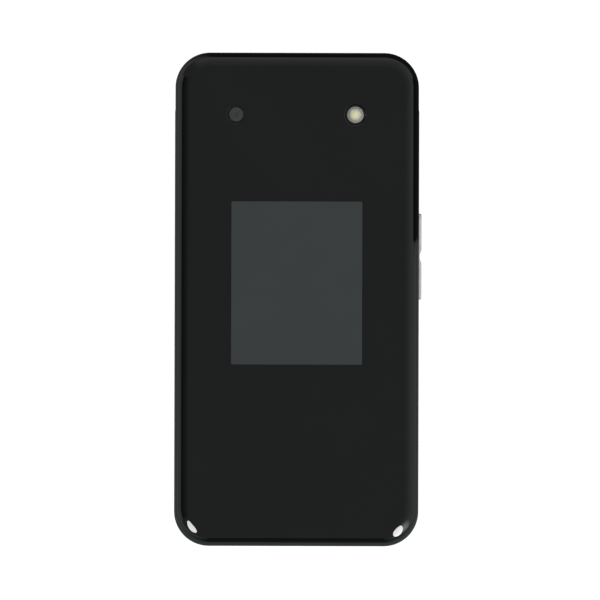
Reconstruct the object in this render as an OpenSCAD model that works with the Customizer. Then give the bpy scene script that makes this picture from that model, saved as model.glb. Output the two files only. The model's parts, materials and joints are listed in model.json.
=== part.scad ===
// Clamshell telephone, lying on its back and closed.
// +Z is up, out of the lid's outer face, and +Y points to the hinge end.
// The origin is on the back face, under the middle of the outline. Millimetres.

/* [Outline] */
// Width of the keypad half across its side walls
base_w = 53.6; // [53:0.1:57]
// Length from the thumb end of the base to the hinge end of the lid
body_l = 108; // [107:0.5:114]
// Radius of the four corners, seen from above
corner_r = 7.6; // [6.8:0.1:8.4]
// Thickness of the keypad half
base_t = 10.4; // [10.2:0.1:11.4]
// Thickness of the lid
lid_t = 7.7; // [7.6:0.05:8.6]
// Gap between the two closed faces
face_gap = 0.5; // [0.4:0.05:0.7]
// How far the base stands out past the lid at the thumb end
thumb_lip = 1.0; // [0.6:0.1:1.8]
// How much narrower the lid is than the base, on each side
lid_inset = 0.2; // [0.1:0.05:0.4]

/* [Shells] */
// Wall of the base's outer shells
base_wall = 1.2; // [1.1:0.05:1.3]
// Thickness of the keypad face plate
plate_t = 1.0; // [0.9:0.05:1.2]
// Height of the battery cover's rim above the back face
cover_rim_h = 4.6; // [4.2:0.1:4.8]
// Rounding of the back's edge
back_edge_r = 3.4; // [2.6:0.1:3.8]
// Rounding of the keypad face's edge
face_edge_r = 0.6; // [0.4:0.1:0.8]
// Rounding of the back where it meets the hinge end
base_end_r = 5.5; // [4.5:0.1:6]
// Radius of the base's corners at the hinge end, seen from above
base_end_corner_r = 4.0; // [3.6:0.1:4.4]
// Wall of the inner chassis under the battery cover
chassis_wall = 1.0; // [0.8:0.1:1.2]

/* [Lid shells] */
// Thickness of the glossy outer cover
cover_t = 1.2; // [1:0.05:1.3]
// Height of the outer cover's side wall
cover_h = 3.6; // [3.5:0.05:3.8]
// Rounding of the outer cover's edge
cover_edge_r = 3.3; // [2.6:0.1:3.4]
// Height of the inner housing's side wall
bezel_h = 1.5; // [1.4:0.05:1.8]
// Rounding of the inner housing's lower edge
bezel_edge_r = 0.9; // [0.6:0.1:1.2]
// Ledge that carries the display lens
ledge_t = 0.5; // [0.4:0.05:0.6]
// Side wall of the lid frame
frame_wall = 1.4; // [1.2:0.1:1.6]
// Floor of the lid frame, between the two displays
frame_floor_t = 0.6; // [0.5:0.05:0.7]

/* [Hinge] */
// Distance from the hinge end of the lid to the hinge axis
hinge_setback = 5.0; // [5:0.1:5.5]
// Height of the hinge axis above the back face
hinge_z = 11.7; // [11.5:0.1:12]
// Radius of the barrel and of the two ears
hinge_r = 4.6; // [4.3:0.05:4.6]
// Length of the barrel between the ears
barrel_l = 31; // [29:0.5:34]
// Side gap between the barrel and each ear
barrel_gap = 0.35; // [0.25:0.05:0.5]
// Length of each ear
ear_l = 5.55; // [5.3:0.05:5.8]
// Radial gap that the barrel and ears turn in
hinge_clear = 0.4; // [0.35:0.05:0.5]
// Angle through which the lid opens
open_angle = 160; // [150:1:162]
// Radius of the spring cartridge in the barrel
cartridge_r = 3.05; // [2.9:0.05:3.1]
// Length of the spring cartridge
cartridge_l = 15.4; // [14.5:0.1:15.5]
// Radius of the keyed head that the cartridge turns against
cam_head_r = 2.3; // [2.1:0.05:2.5]
// Radius of the shaft through the cartridge's end wall
cam_shaft_r = 1.25; // [1.1:0.05:1.4]
// Depth of the pockets in the ears
ear_pocket = 4.1; // [3.6:0.1:4.6]
// Outer radius of the hollow pin in the left ear
pin_r = 2.2; // [2.1:0.05:2.4]
// Bore of the hollow pin
pin_bore_r = 1.6; // [1.5:0.05:1.7]

/* [Outer face] */
// Width of the outer display window
window_w = 28.6; // [26:0.1:31]
// Length of the outer display window
window_l = 35.6; // [32:0.1:40]
// From the hinge end to the middle of the outer display
window_from_end = 50.3; // [46:0.1:52]
// From the hinge end to the camera and the flash
camera_from_end = 13.6; // [13.6:0.1:14.4]
// Sideways place of the camera
camera_x = -13.3; // [-14:0.1:-12.5]
// Sideways place of the flash
flash_x = 12.7; // [12:0.1:13.5]
// Radius of the camera's opening
camera_r = 1.9; // [1.7:0.05:2.2]
// Radius of the flash's opening
flash_hole_r = 2.3; // [2.2:0.05:2.5]
// Radius of the flash's dome
flash_r = 1.9; // [1.7:0.05:2]

/* [Displays] */
// Width of the outer display module
small_display_w = 33.5; // [32.5:0.5:35]
// Length of the outer display module
small_display_l = 43; // [41:0.5:46]
// Thickness of the outer display module
small_display_t = 1.75; // [1.5:0.05:1.75]
// Width of the main display module
main_display_w = 46.2; // [44:0.2:47]
// Length of the main display module
main_display_l = 61; // [58:0.5:63]
// Thickness of the main display module
main_display_t = 1.8; // [1.6:0.05:1.8]
// From the hinge end to the middle of the main display
main_display_from_end = 56; // [54:0.5:58]
// Thickness of the main display lens
lens_t = 1.0; // [0.9:0.05:1]
// Bezel left at each side of the lens
lens_side = 2.8; // [2.4:0.1:3.2]
// Bezel left at the thumb end of the lens
lens_thumb_end = 4.8; // [4.6:0.1:5.6]
// From the hinge end to the near edge of the lens
lens_hinge_end = 17.5; // [17:0.5:19]
// Thickness of the lid's circuit board
lid_board_t = 0.6; // [0.5:0.05:0.6]

/* [Keypad] */
// Sideways pitch of the number keys
key_pitch_x = 16.4; // [16:0.1:16.6]
// Lengthways pitch of the number keys
key_pitch_y = 13.0; // [12.4:0.1:13.2]
// Width of a number key
key_w = 15.2; // [13.6:0.1:15.2]
// Length of a number key
key_l = 11.4; // [10:0.1:11.6]
// Width of a function key
side_key_w = 10.6; // [9.4:0.1:10.6]
// Length of a function key
side_key_l = 10.6; // [9.4:0.1:10.8]
// Sideways place of the function keys
side_key_x = 18.8; // [18.6:0.1:19]
// Lengthways pitch of the function keys
side_key_pitch = 12.6; // [12.4:0.1:12.8]
// From the base's hinge end to the middle of the navigation ring
nav_from_end = 19.2; // [19:0.1:19.7]
// From the navigation ring to the first row of number keys
nav_to_rows = 21.2; // [21.2:0.1:22]
// Radius of the navigation ring
nav_r = 11.8; // [11:0.1:11.8]
// Radius of the select key
select_r = 5.3; // [4.8:0.1:5.6]
// How far the keys stand above the plate
key_proud = 0.15; // [0.1:0.05:0.25]
// Travel of a key
key_travel = 0.3; // [0.2:0.05:0.35]
// Gap around a key in its hole
key_gap = 0.15; // [0.12:0.01:0.25]
// Tilt of the navigation ring each way, in degrees
nav_tilt = 1.2; // [0.8:0.1:1.3]

/* [Side and ends] */
// Length of the volume rocker
rocker_l = 18.9; // [17:0.1:20]
// Height of the volume rocker
rocker_h = 2.8; // [2.4:0.1:2.9]
// How far the rocker stands out of the side wall
rocker_proud = 0.6; // [0.5:0.05:0.9]
// From the hinge end to the middle of the rocker
rocker_from_end = 44.4; // [43:0.1:46]
// Height of the rocker's middle above the back face
rocker_z = 6.6; // [6.5:0.05:6.7]
// Tilt of the rocker each way, in degrees
rocker_tilt = 1.5; // [1:0.1:1.8]
// Width of the charging socket
usb_w = 8.9; // [8.6:0.1:9.2]
// Height of the charging socket
usb_h = 3.2; // [2.9:0.1:3.3]
// Depth of the charging socket
usb_l = 7.3; // [6.8:0.1:7.8]
// Height of both sockets' middle above the back face
socket_z = 7.2; // [7.1:0.05:7.3]
// Sideways place of the headphone socket
jack_x = -14; // [-15:0.1:-12.5]
// Radius of the headphone socket's bore
jack_r = 1.775; // [1.7:0.025:1.8]
// Depth of the headphone socket's bore
jack_l = 12; // [11.5:0.1:12.2]

/* [Inside the base] */
// Width of the battery
battery_w = 34.5; // [32:0.5:36]
// Length of the battery
battery_l = 48; // [44:0.5:49]
// Thickness of the battery
battery_t = 5.0; // [4.6:0.1:5.1]
// From the thumb end to the near end of the battery
battery_from_end = 17.5; // [17.5:0.1:18.5]
// Thickness of the main circuit board
board_t = 0.8; // [0.7:0.05:0.8]
// Depth from the plate's underside to the board
keypad_depth = 1.6; // [1.6:0.05:1.7]
// Radius of the screw bosses
boss_r = 2.3; // [2.1:0.05:2.4]
// Radius of the screw shanks
screw_r = 0.8; // [0.6:0.05:0.9]
// Width of the loudspeaker
speaker_w = 11; // [10:0.5:12]
// Length of the loudspeaker
speaker_l = 14.6; // [13:0.2:15]
// Radius of the vibration motor
motor_r = 2.0; // [1.8:0.05:2]
// Length of the vibration motor's can
motor_l = 8; // [7:0.5:8.5]

/* [Hidden] */
$fn = 48;
eps = 0.01;
fit = 0.05;          // gap between pieces that are fastened to each other
slide_fit = 0.2;     // gap around pieces that drop into a pocket
reach = 200;         // longer than the telephone, for cuts that run right through

// Outline and levels
lid_w = base_w - 2 * lid_inset;
thumb_y = -body_l / 2;
end_y = body_l / 2;
lid_l = body_l - thumb_lip;
lid_mid_y = end_y - lid_l / 2;
lid_z = base_t + face_gap;
top_z = lid_z + lid_t;
hinge_y = end_y - hinge_setback;

// Base, from the face plate down
plate_z = base_t - plate_t;
board_top = plate_z - keypad_depth;
board_z = board_top - board_t;
chassis_top = board_z - fit;
battery_z = base_wall + fit;
battery_top = battery_z + battery_t;
chassis_z = base_wall + 0.5;
chassis_inset = base_wall + fit;
bay_ceiling = battery_top + fit;
battery_y = thumb_y + battery_from_end + battery_l / 2;
battery_end = battery_y + battery_l / 2;

// Lid, from the outer face down
cover_z = top_z - cover_h;
cover_under = top_z - cover_t;
small_display_z = cover_under - fit - small_display_t;
lid_board_z = small_display_z - fit - lid_board_t;
frame_floor_z = lid_board_z - fit - frame_floor_t;
main_display_z = lid_z + lens_t + ledge_t + fit;
frame_z = lid_z + bezel_h;
window_y = end_y - window_from_end;
camera_y = end_y - camera_from_end;
main_display_y = end_y - main_display_from_end;

// Lens in the inner housing
lens_w = lid_w - 2 * lens_side;
lens_y0 = thumb_y + thumb_lip + lens_thumb_end;
lens_y1 = end_y - lens_hinge_end;
lens_l = lens_y1 - lens_y0;
lens_y = (lens_y0 + lens_y1) / 2;
lens_corner_r = 3.5;
ledge_w = 1.2;

// Hinge: the cover's lower edge swings down behind the base, which ends just short of it
ear_x = barrel_l / 2 + barrel_gap;
cheek_x = ear_x + ear_l + barrel_gap;
turn_r = hinge_r + hinge_clear;
skirt_z = cover_z - hinge_z;
skirt_r = norm([hinge_setback, skirt_z]);
skirt_stop = atan2(skirt_z, hinge_setback) - open_angle;
base_end_y = hinge_y + skirt_r * cos(skirt_stop) - hinge_clear;
neck_angle = skirt_stop - 4;
bearing_l = 3;
cam_wall = 1;
flex_r = pin_bore_r - 0.25;
lid_web_y = hinge_y - turn_r - 0.9;  // wall between the hinge and the room for the board
board_room_inset = cover_t + fit + 0.9;  // from the lid's outside to that room

// Keypad
nav_y = base_end_y - nav_from_end;
rows_y = nav_y - nav_to_rows;
key_corner_r = 1.8;
key_edge_r = 0.5;
key_lip = 0.4;       // how far a key's flange reaches under the plate
flange_t = 0.6;
flange_top = plate_z - fit;
dome_sheet_t = 0.2;
dome_h = 0.1;        // a dome is drawn at its pressed height
dome_r = 2.1;
dome_top = board_top + dome_sheet_t + dome_h;
mat_t = 0.4;
stem_r = 1.3;
stem_z = dome_top + key_travel + fit;
nav_lip = 0.9;
nav_low = stem_z + 0.05;
nav_play = (nav_r + nav_lip) * tan(sqrt(2) * nav_tilt) + 1.5 * fit;
nav_well_r = nav_r + nav_lip + 0.4;
web_r = 6.6;         // the ring's centring web
web_w = 1.2;
nav_switch_r = 9;

// Chin of the base
usb_y = thumb_y + 0.4;
jack_y = thumb_y + 0.4;
jack_wall = 0.5;
mic_x = 9;
mic_y = thumb_y + 6.2;
motor_weight_l = 4;
motor_gap = 0.8;
motor_from_boss = 2.2;
motor_y = thumb_y + 12;
motor_z = chassis_z + chassis_wall + fit + motor_r;

// Hinge end of the base
speaker_x = -15;
speaker_y = base_end_y - 14.4;
speaker_t = 3.2;
sim_size = [25, 14];
sim_pos = [5.8, base_end_y - 21.2];
sim_t = 1.4;
shield_t = 1.5;
boss_side = 4.5;     // from the side wall's outside to a boss
boss_end = 4.5;      // from the base's hinge end to a boss
boss_thumb = 10.4;   // from the thumb end to a boss
motor_x = base_w / 2 - boss_side - boss_r - motor_from_boss - motor_weight_l - motor_gap - motor_l;

// Bumpers and screws of the lid
camera_size = [6, 6];
bumper_r = 1.6;
bumper_sink = 0.5;
lid_screw_r = 0.7;
thumb_bumper = [lid_w / 2 - 9.6, thumb_y + thumb_lip + 2.4];
hinge_bumper = [lid_w / 2 - 4.6, end_y - 13.7];
bumper_spots = [for (side = [-1, 1], p = [thumb_bumper, hinge_bumper]) [side * p[0], p[1]]];

NUMBER_KEYS = [
    "key_1", "key_2", "key_3", "key_4", "key_5", "key_6",
    "key_7", "key_8", "key_9", "key_star", "key_0", "key_hash"
];
FUNCTION_KEYS = ["key_soft_left", "key_soft_right", "key_call", "key_end"];

// ---------- Places ----------

function number_key_pos(i) =
    [(i % 3 - 1) * key_pitch_x, rows_y - floor(i / 3) * key_pitch_y];
function function_key_pos(i) =
    [(i % 2 == 0 ? -1 : 1) * side_key_x, nav_y + (i < 2 ? 0.5 : -0.5) * side_key_pitch];
function key_spots() = concat(
    [for (i = [0:11]) number_key_pos(i)], [for (i = [0:3]) function_key_pos(i)]);
function base_screw_spots() = [
    for (x = [-1, 1], y = [thumb_y + boss_thumb, base_end_y - boss_end])
        [x * (base_w / 2 - boss_side), y]];

// ---------- Shapes that repeat ----------

// Rectangle with round corners, about its middle
module rounded_rect(w, l, r) {
    square([w - 2 * r, l], center = true);
    square([w, l - 2 * r], center = true);
    for (x = [-1, 1], y = [-1, 1])
        translate([x * (w / 2 - r), y * (l / 2 - r)]) circle(r);
}

// Section from a corner's centre out to the wall, with the outer edges rounded
module edge_section(r, h, low_r, high_r) {
    difference() {
        square([r, h]);
        if (low_r > 0)
            translate([r - low_r, low_r])
                difference() {
                    translate([0, -low_r - 1]) square([low_r + 1, low_r + 1]);
                    circle(low_r);
                }
        if (high_r > 0)
            translate([r - high_r, h - high_r])
                difference() {
                    square(high_r + 1);
                    circle(high_r);
                }
    }
}

module slab_side(offset, length, r, h, low_r, high_r)
    translate([offset, length / 2, 0])
        rotate([90, 0, 0])
            linear_extrude(length) edge_section(r, h, low_r, high_r);

// Plate with round corners, and its lower and upper edges rounded all the way round
module slab(w, l, h, r, low_r = 0, high_r = 0) {
    cx = w / 2 - r;
    cy = l / 2 - r;
    for (q = [0:3])
        translate([(q == 0 || q == 3 ? 1 : -1) * cx, (q < 2 ? 1 : -1) * cy, 0])
            rotate([0, 0, 90 * q])
                rotate_extrude(angle = 90) edge_section(r, h, low_r, high_r);
    for (a = [0, 180]) {
        rotate([0, 0, a]) slab_side(cx, 2 * cy, r, h, low_r, high_r);
        rotate([0, 0, a + 90]) slab_side(cy, 2 * cx, r, h, low_r, high_r);
    }
    translate([-cx, -cy, 0]) cube([2 * cx, 2 * cy, h]);
}

// Box given by its middle in plan, its size in plan and its two levels
module block(pos, size, z0, z1)
    translate([pos[0] - size[0] / 2, pos[1] - size[1] / 2, z0])
        cube([size[0], size[1], z1 - z0]);

// Upright cylinder between two levels
module post(pos, r, z0, z1)
    translate([pos[0], pos[1], z0]) cylinder(r = r, h = z1 - z0);

// Cylinder along X on the hinge axis
module on_axis(r, x0, x1)
    translate([x0, hinge_y, hinge_z])
        rotate([0, 90, 0]) cylinder(r = r, h = x1 - x0);

// Side view of the base's hinge end: the keypad face runs straight, the back rounds up to it
module base_end_section(inset)
    difference() {
        translate([thumb_y - 1, inset]) square([base_end_y - inset - thumb_y + 1, base_t + 1]);
        translate([base_end_y - base_end_r, base_end_r])
            difference() {
                translate([0, -base_end_r - 1]) square([base_end_r + 1, base_end_r + 1]);
                circle(base_end_r - inset);
            }
    }

// Outer form of the base, drawn in by an inset, between two levels
module base_form(inset, z0, z1)
    intersection() {
        translate([0, 0, inset])
            slab(base_w - 2 * inset, body_l - 2 * inset, base_t - inset,
                corner_r - inset, low_r = max(back_edge_r - inset, 0.4),
                high_r = inset == 0 ? face_edge_r : 0);
        translate([-base_w / 2 - 1, 0, 0])
            rotate([90, 0, 90]) linear_extrude(base_w + 2) base_end_section(inset);
        translate([0, base_end_y - body_l / 2, z0])
            linear_extrude(z1 - z0)
                rounded_rect(base_w - 2 * inset, body_l - 2 * inset, base_end_corner_r - inset);
    }

// Outer form of the lid, drawn in by an inset, between two levels
module lid_form(inset, z0, z1)
    intersection() {
        translate([0, lid_mid_y, lid_z])
            slab(lid_w - 2 * inset, lid_l - 2 * inset, lid_t - inset, corner_r - inset,
                low_r = inset == 0 ? bezel_edge_r : 0,
                high_r = max(cover_edge_r - inset, 0.4));
        block([0, 0], [reach, reach], z0, z1);
    }

// Room for the base's two ears, cut out of the lid
module ear_room()
    for (side = [0, 1]) mirror([side, 0, 0])
        on_axis(turn_r, barrel_l / 2, cheek_x);

// The lid's two side knuckles, outside the ears
module cheeks(r)
    for (side = [0, 1]) mirror([side, 0, 0])
        on_axis(r, cheek_x, base_w / 2 + 1);

// ---------- Base: shells ----------

// Solid ear with the neck that joins it to the base
module ear_form() {
    neck_x = base_end_y - hinge_y;
    on_axis(hinge_r, ear_x, ear_x + ear_l);
    translate([ear_x, hinge_y, hinge_z])
        rotate([90, 0, 90]) linear_extrude(ear_l)
            polygon([
                [0, 0],
                (hinge_r - eps) * [cos(neck_angle), sin(neck_angle)],
                [neck_x - eps, neck_x * tan(neck_angle)],
                [neck_x - 1.5, neck_x * tan(neck_angle)],
                [neck_x - 1.5, base_t - hinge_z],
                [-sqrt(pow(hinge_r, 2) - pow(base_t - hinge_z, 2)), base_t - hinge_z]
            ]);
}

// Hole for a key's cap, over the room that its flange moves in
module key_hole(pos, w, l) {
    room = 2 * (key_lip + key_gap);
    translate([pos[0], pos[1], plate_z - 1]) {
        linear_extrude(plate_t + 2)
            rounded_rect(w + 2 * key_gap, l + 2 * key_gap, key_corner_r + key_gap);
        linear_extrude(1) rounded_rect(w + room, l + room, key_corner_r);
    }
}

module base_front_housing() color("#16171a")
    difference() {
        union() {
            difference() {
                base_form(0, cover_rim_h, base_t);
                base_form(base_wall, cover_rim_h - 1, plate_z);
            }
            for (side = [0, 1]) mirror([side, 0, 0]) ear_form();
            intersection() {
                for (p = base_screw_spots())
                    post(p, boss_r, board_top + fit, plate_z + eps);
                base_form(base_wall / 2, 0, base_t);
            }
        }
        for (i = [0:11]) key_hole(number_key_pos(i), key_w, key_l);
        for (i = [0:3]) key_hole(function_key_pos(i), side_key_w, side_key_l);
        post([0, nav_y], nav_r + key_gap, plate_z - 1, base_t + 1);
        on_axis(turn_r, -ear_x, ear_x);
        for (side = [0, 1]) mirror([side, 0, 0])
            on_axis(turn_r, cheek_x - barrel_gap, base_w);
        ear_pockets();
        flex_channel();
        rocker_slot();
        for (p = base_screw_spots()) post(p, screw_r, board_top - 1, plate_z - 0.2);
        // Charging socket, headphone socket and microphone
        translate([0, thumb_y + 2, socket_z])
            rotate([90, 0, 0]) linear_extrude(4)
                rounded_rect(usb_w + 2 * fit, usb_h + 2 * fit, usb_h / 2);
        translate([jack_x, thumb_y + base_wall + 1.4, socket_z])
            rotate([90, 0, 0]) cylinder(r = jack_r + jack_wall + fit, h = 4);
        post([mic_x, mic_y], 0.6, plate_z - 1, base_t + 1);
    }

// Pockets in the ears: keyed on the right, round on the left
module ear_pockets() {
    intersection() {
        on_axis(cam_head_r + fit, ear_x - 1, ear_x + ear_pocket);
        cam_flat(fit);
    }
    on_axis(pin_r + fit, -ear_x - ear_pocket, -ear_x + 1);
}

// Way for the ribbon from the left ear's pocket down into the base
module flex_channel()
    translate([-ear_x - ear_pocket, hinge_y, hinge_z])
        rotate([32, 0, 0]) translate([0, -8, -0.6]) cube([2, 8, 1.2]);

// Half space that gives the keyed head its flat
module cam_flat(clearance)
    translate([0, hinge_y - reach / 2, hinge_z - 0.7 * cam_head_r - clearance])
        cube([reach, reach, reach]);

module rocker_slot()
    translate([base_w / 2 - base_wall - 1, end_y - rocker_from_end, rocker_z])
        rotate([90, 0, 90]) linear_extrude(base_wall + 2)
            rounded_rect(rocker_l + 2 * slide_fit, rocker_h + 2 * slide_fit, 1.2);

// Chassis under the battery cover: a rim, a plate and the battery bay
module base_rear_housing() color("#26282b") {
    bay = [battery_w + 2 * slide_fit, battery_l + 2 * slide_fit];
    bay_pos = [0, battery_y];
    plate_top = chassis_z + chassis_wall;
    difference() {
        union() {
            difference() {
                base_form(chassis_inset, chassis_z, chassis_top);
                base_form(chassis_inset + chassis_wall, plate_top, chassis_top + 1);
            }
            block(bay_pos, bay + 2 * [chassis_wall, chassis_wall], chassis_z, chassis_top);
            intersection() {
                for (p = base_screw_spots()) post(p, boss_r, chassis_z, chassis_top);
                base_form(chassis_inset, chassis_z, chassis_top);
            }
        }
        block(bay_pos, bay, 0, bay_ceiling);
        block([0, battery_end + 1], [contact_w + 2 * slide_fit, 4], contact_z - fit, chassis_top + 1);
        block(sim_pos, sim_size + 2 * [slide_fit, slide_fit], 0, chassis_top + 1);
        speaker_slots(chassis_z - 1, plate_top + 1);
        for (p = base_screw_spots()) {
            post(p, screw_r + fit, 0, chassis_top + 1);
            post(p, 2 * screw_r + fit, 0, screw_seat_z);
        }
        // Sockets and rocker reach into the rim
        block([0, thumb_y], [usb_w + 2, 2 * usb_l + 3], socket_z - usb_h / 2 - 0.6, chassis_top + 1);
        block([jack_x, thumb_y], [2 * (jack_body_w + slide_fit), 2 * jack_l + 4],
            socket_z - jack_body_w - slide_fit, chassis_top + 1);
        block([base_w / 2, end_y - rocker_from_end], [8, rocker_l + 4],
            rocker_z - rocker_h / 2 - 0.8, chassis_top + 1);
    }
}

module battery_cover() color("#17181a")
    difference() {
        base_form(0, 0, cover_rim_h - fit);
        base_form(base_wall, 0, base_t);
        speaker_slots(-1, base_wall + 1);
        // Finger notch at the thumb end's corner
        translate([base_w / 2 - corner_r * 0.3, thumb_y + corner_r * 0.3, cover_rim_h])
            sphere(r = 1.3);
    }

// Rows of short slots over the loudspeaker
module speaker_slots(z0, z1)
    for (i = [-2:2])
        translate([speaker_x, speaker_y + 2 * i, z0])
            linear_extrude(z1 - z0) rounded_rect(7, 0.8, 0.39);

// ---------- Base: battery, board and what is on it ----------

contact_w = 9;
contact_z = chassis_z + chassis_wall + 0.6;
jack_body_w = jack_r + jack_wall;

module battery() color("#2f3338")
    translate([0, battery_y, battery_z])
        slab(battery_w, battery_l, battery_t, 2.4, low_r = 0.6, high_r = 0.6);

// Block with three sprung tips that press on the battery's end
module battery_contacts() color("#caa24a") {
    y0 = battery_end + slide_fit;
    block([0, y0 + 1.2], [contact_w, 2.2], contact_z, chassis_top);
    for (i = [-1:1])
        translate([i * 2.8, y0 + 0.2, (contact_z + battery_top) / 2])
            rotate([0, 90, 0]) cylinder(r = 0.35, h = 1.2, center = true);
}

module board_outline()
    difference() {
        translate([0, (thumb_y + base_end_y) / 2])
            rounded_rect(base_w - 2 * (base_wall + 0.4),
                base_end_y - thumb_y - 2 * (base_wall + 0.4), corner_r - base_wall - 0.4);
        translate([0, thumb_y]) square([usb_w + 0.6, 2 * (usb_l + 0.8)], center = true);
        translate([jack_x, thumb_y])
            square([2 * jack_body_w + 0.8, 2 * (jack_l + 1.2)], center = true);
        translate([base_w / 2, end_y - rocker_from_end]) square([9, rocker_l + 4], center = true);
        for (p = base_screw_spots()) translate(p) circle(screw_r + 0.3);
    }

module main_board() color("#1f5b3a")
    translate([0, 0, board_z]) linear_extrude(board_t) board_outline();

// Two cans on the board's underside, beside and above the card holder
module board_shields() color("#c3c6c9") {
    end_rows = [sim_pos[1] + sim_size[1] / 2 + 1.6, base_end_y - base_wall - chassis_wall - 0.8];
    side_rows = [end_y - rocker_from_end + rocker_l / 2 + 2.3, sim_pos[1] + sim_size[1] / 2];
    side_x = [sim_pos[0] + sim_size[0] / 2 + 1.5, base_w / 2 - 3];
    block([4.5, (end_rows[0] + end_rows[1]) / 2], [22, end_rows[1] - end_rows[0]],
        board_z - shield_t, board_z - eps);
    block([(side_x[0] + side_x[1]) / 2, (side_rows[0] + side_rows[1]) / 2],
        [side_x[1] - side_x[0], side_rows[1] - side_rows[0]], board_z - shield_t, board_z - eps);
}

module dome_sheet() color("#d8d2b8") {
    translate([0, 0, board_top]) linear_extrude(dome_sheet_t) keypad_field();
    for (p = concat(key_spots(), [[0, nav_y]]))
        post(p, dome_r, board_top + dome_sheet_t, dome_top);
    for (a = [0:90:270])
        post([nav_switch_r * cos(a), nav_y + nav_switch_r * sin(a)], dome_r,
            board_top + dome_sheet_t, dome_top);
}

// Field that all the keys stand on
module keypad_field() {
    y1 = nav_y + nav_well_r + 0.6;
    y0 = rows_y - 3 * key_pitch_y - key_l / 2;
    difference() {
        translate([0, (y0 + y1) / 2]) rounded_rect(base_w - 2 * (base_wall + 1.2), y1 - y0, 3);
        translate([base_w / 2, end_y - rocker_from_end]) square([10, rocker_l + 4], center = true);
        for (p = base_screw_spots()) translate(p) circle(boss_r + 0.2);
    }
}

module keypad_mat() color("#b9bdc0")
    translate([0, 0, board_top + dome_sheet_t])
        linear_extrude(mat_t)
            difference() {
                keypad_field();
                for (p = key_spots()) translate(p) circle(dome_r + 0.3);
                translate([0, nav_y]) circle(nav_well_r);
            }

module loudspeaker() color("#3a3c40") {
    z0 = chassis_z + chassis_wall;
    block([speaker_x, speaker_y], [speaker_w, speaker_l], z0, z0 + speaker_t);
    block([speaker_x, speaker_y], [speaker_w - 3, speaker_l - 3], z0 + speaker_t - eps, board_z - eps);
}

module microphone() color("#b5b8bb")
    block([mic_x, mic_y], [3.8, 3], board_top, plate_z - fit);

// Metal shell with its tongue, open at the thumb end
module usb_socket() color("#b9bcc0")
    translate([0, usb_y, socket_z]) rotate([-90, 0, 0]) {
        difference() {
            linear_extrude(usb_l) rounded_rect(usb_w, usb_h, usb_h / 2 - 0.02);
            translate([0, 0, -1])
                linear_extrude(usb_l) rounded_rect(usb_w - 0.6, usb_h - 0.6, usb_h / 2 - 0.32);
        }
        translate([-usb_w * 0.37, -0.35, 1]) cube([usb_w * 0.74, 0.7, usb_l - 1.5]);
    }

// Socket body with a round nose that reaches through the wall
module headphone_socket() color("#1b1c1f") {
    nose = base_wall + 0.3;
    difference() {
        union() {
            translate([jack_x, jack_y, socket_z])
                rotate([-90, 0, 0]) cylinder(r = jack_r + jack_wall, h = nose + 0.3);
            translate([jack_x - jack_body_w, jack_y + nose, socket_z - jack_body_w + 0.3])
                cube([2 * jack_body_w, jack_l - nose + 0.6, 2 * jack_body_w - 0.6]);
        }
        translate([jack_x, jack_y - 1, socket_z])
            rotate([-90, 0, 0]) cylinder(r = jack_r, h = jack_l + 1);
    }
}

// Folded cage under the board, open towards the thumb end
module sim_holder() color("#c9ccce")
    difference() {
        block(sim_pos, sim_size, board_z - sim_t, board_z - eps);
        translate([0, -0.5, 0])
            block(sim_pos, sim_size - [1, 0], board_z - sim_t + 0.25, board_z - 0.35);
    }

// Moulded carrier in the thumb end's corner
module antenna() color("#8a6a3a")
    intersection() {
        base_form(chassis_inset + chassis_wall + slide_fit, chassis_z + chassis_wall, board_z - eps);
        translate([usb_w / 2 + 1.6, thumb_y, 0]) cube([base_w, 8, board_z - eps]);
    }

screw_seat_z = chassis_z + chassis_wall + 1.2;

module base_screws() color("#8d9093")
    for (p = base_screw_spots())
        difference() {
            union() {
                post(p, screw_r, screw_seat_z - eps, plate_z - 0.4);
                post(p, 2 * screw_r, screw_seat_z - 0.8 * screw_r, screw_seat_z);
            }
            post(p, screw_r * 0.7, 0, screw_seat_z - 0.3 * screw_r);
        }

module vibration_motor() color("#b4b7ba") {
    translate([motor_x, motor_y, motor_z]) rotate([0, 90, 0]) cylinder(r = motor_r, h = motor_l);
    // Shaft to the weight, and the boot that holds the can under the board
    translate([motor_x + motor_l - eps, motor_y, motor_z])
        rotate([0, 90, 0]) cylinder(r = 0.4, h = motor_gap + motor_weight_l);
    block([motor_x + motor_l / 2, motor_y], [motor_l - 2, 2 * motor_r - 1.2],
        motor_z + motor_r - 0.6, board_z - eps);
}

module motor_weight() color("#9a8f7c")
    translate([motor_x + motor_l + motor_gap, motor_y, motor_z])
        rotate([0, 90, 0])
            difference() {
                cylinder(r = motor_r - 0.15, h = motor_weight_l);
                translate([-3 * motor_r - 0.7, -reach / 2, -1])
                    cube([3 * motor_r, reach, motor_weight_l + 2]);
                translate([0, 0, -1]) cylinder(r = 0.4 + fit, h = motor_weight_l + 2);
            }

// Strip behind the rocker with a switch at each end
module side_switch_flex() color("#c58b3c") {
    switch_h = 0.25;
    play = rocker_l / 2 * tan(rocker_tilt) + fit;
    x0 = rocker_back_x - rocker_flange_t / 3 - play - switch_h - 0.3;
    y = end_y - rocker_from_end;
    translate([x0, y - rocker_l / 2, rocker_z - rocker_h / 2])
        cube([0.3, rocker_l, rocker_h]);
    for (s = [-1, 1])
        translate([x0 + 0.3 - eps, y + s * rocker_l * 0.36, rocker_z])
            rotate([0, 90, 0]) cylinder(r = 1.1, h = switch_h);
    // Tab that solders the strip to the board's edge
    translate([x0 - 1.8, y - 2.5, board_z - 0.3]) cube([1.9, 5, 0.3 - eps]);
}

// ---------- Base: moving keys ----------

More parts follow.
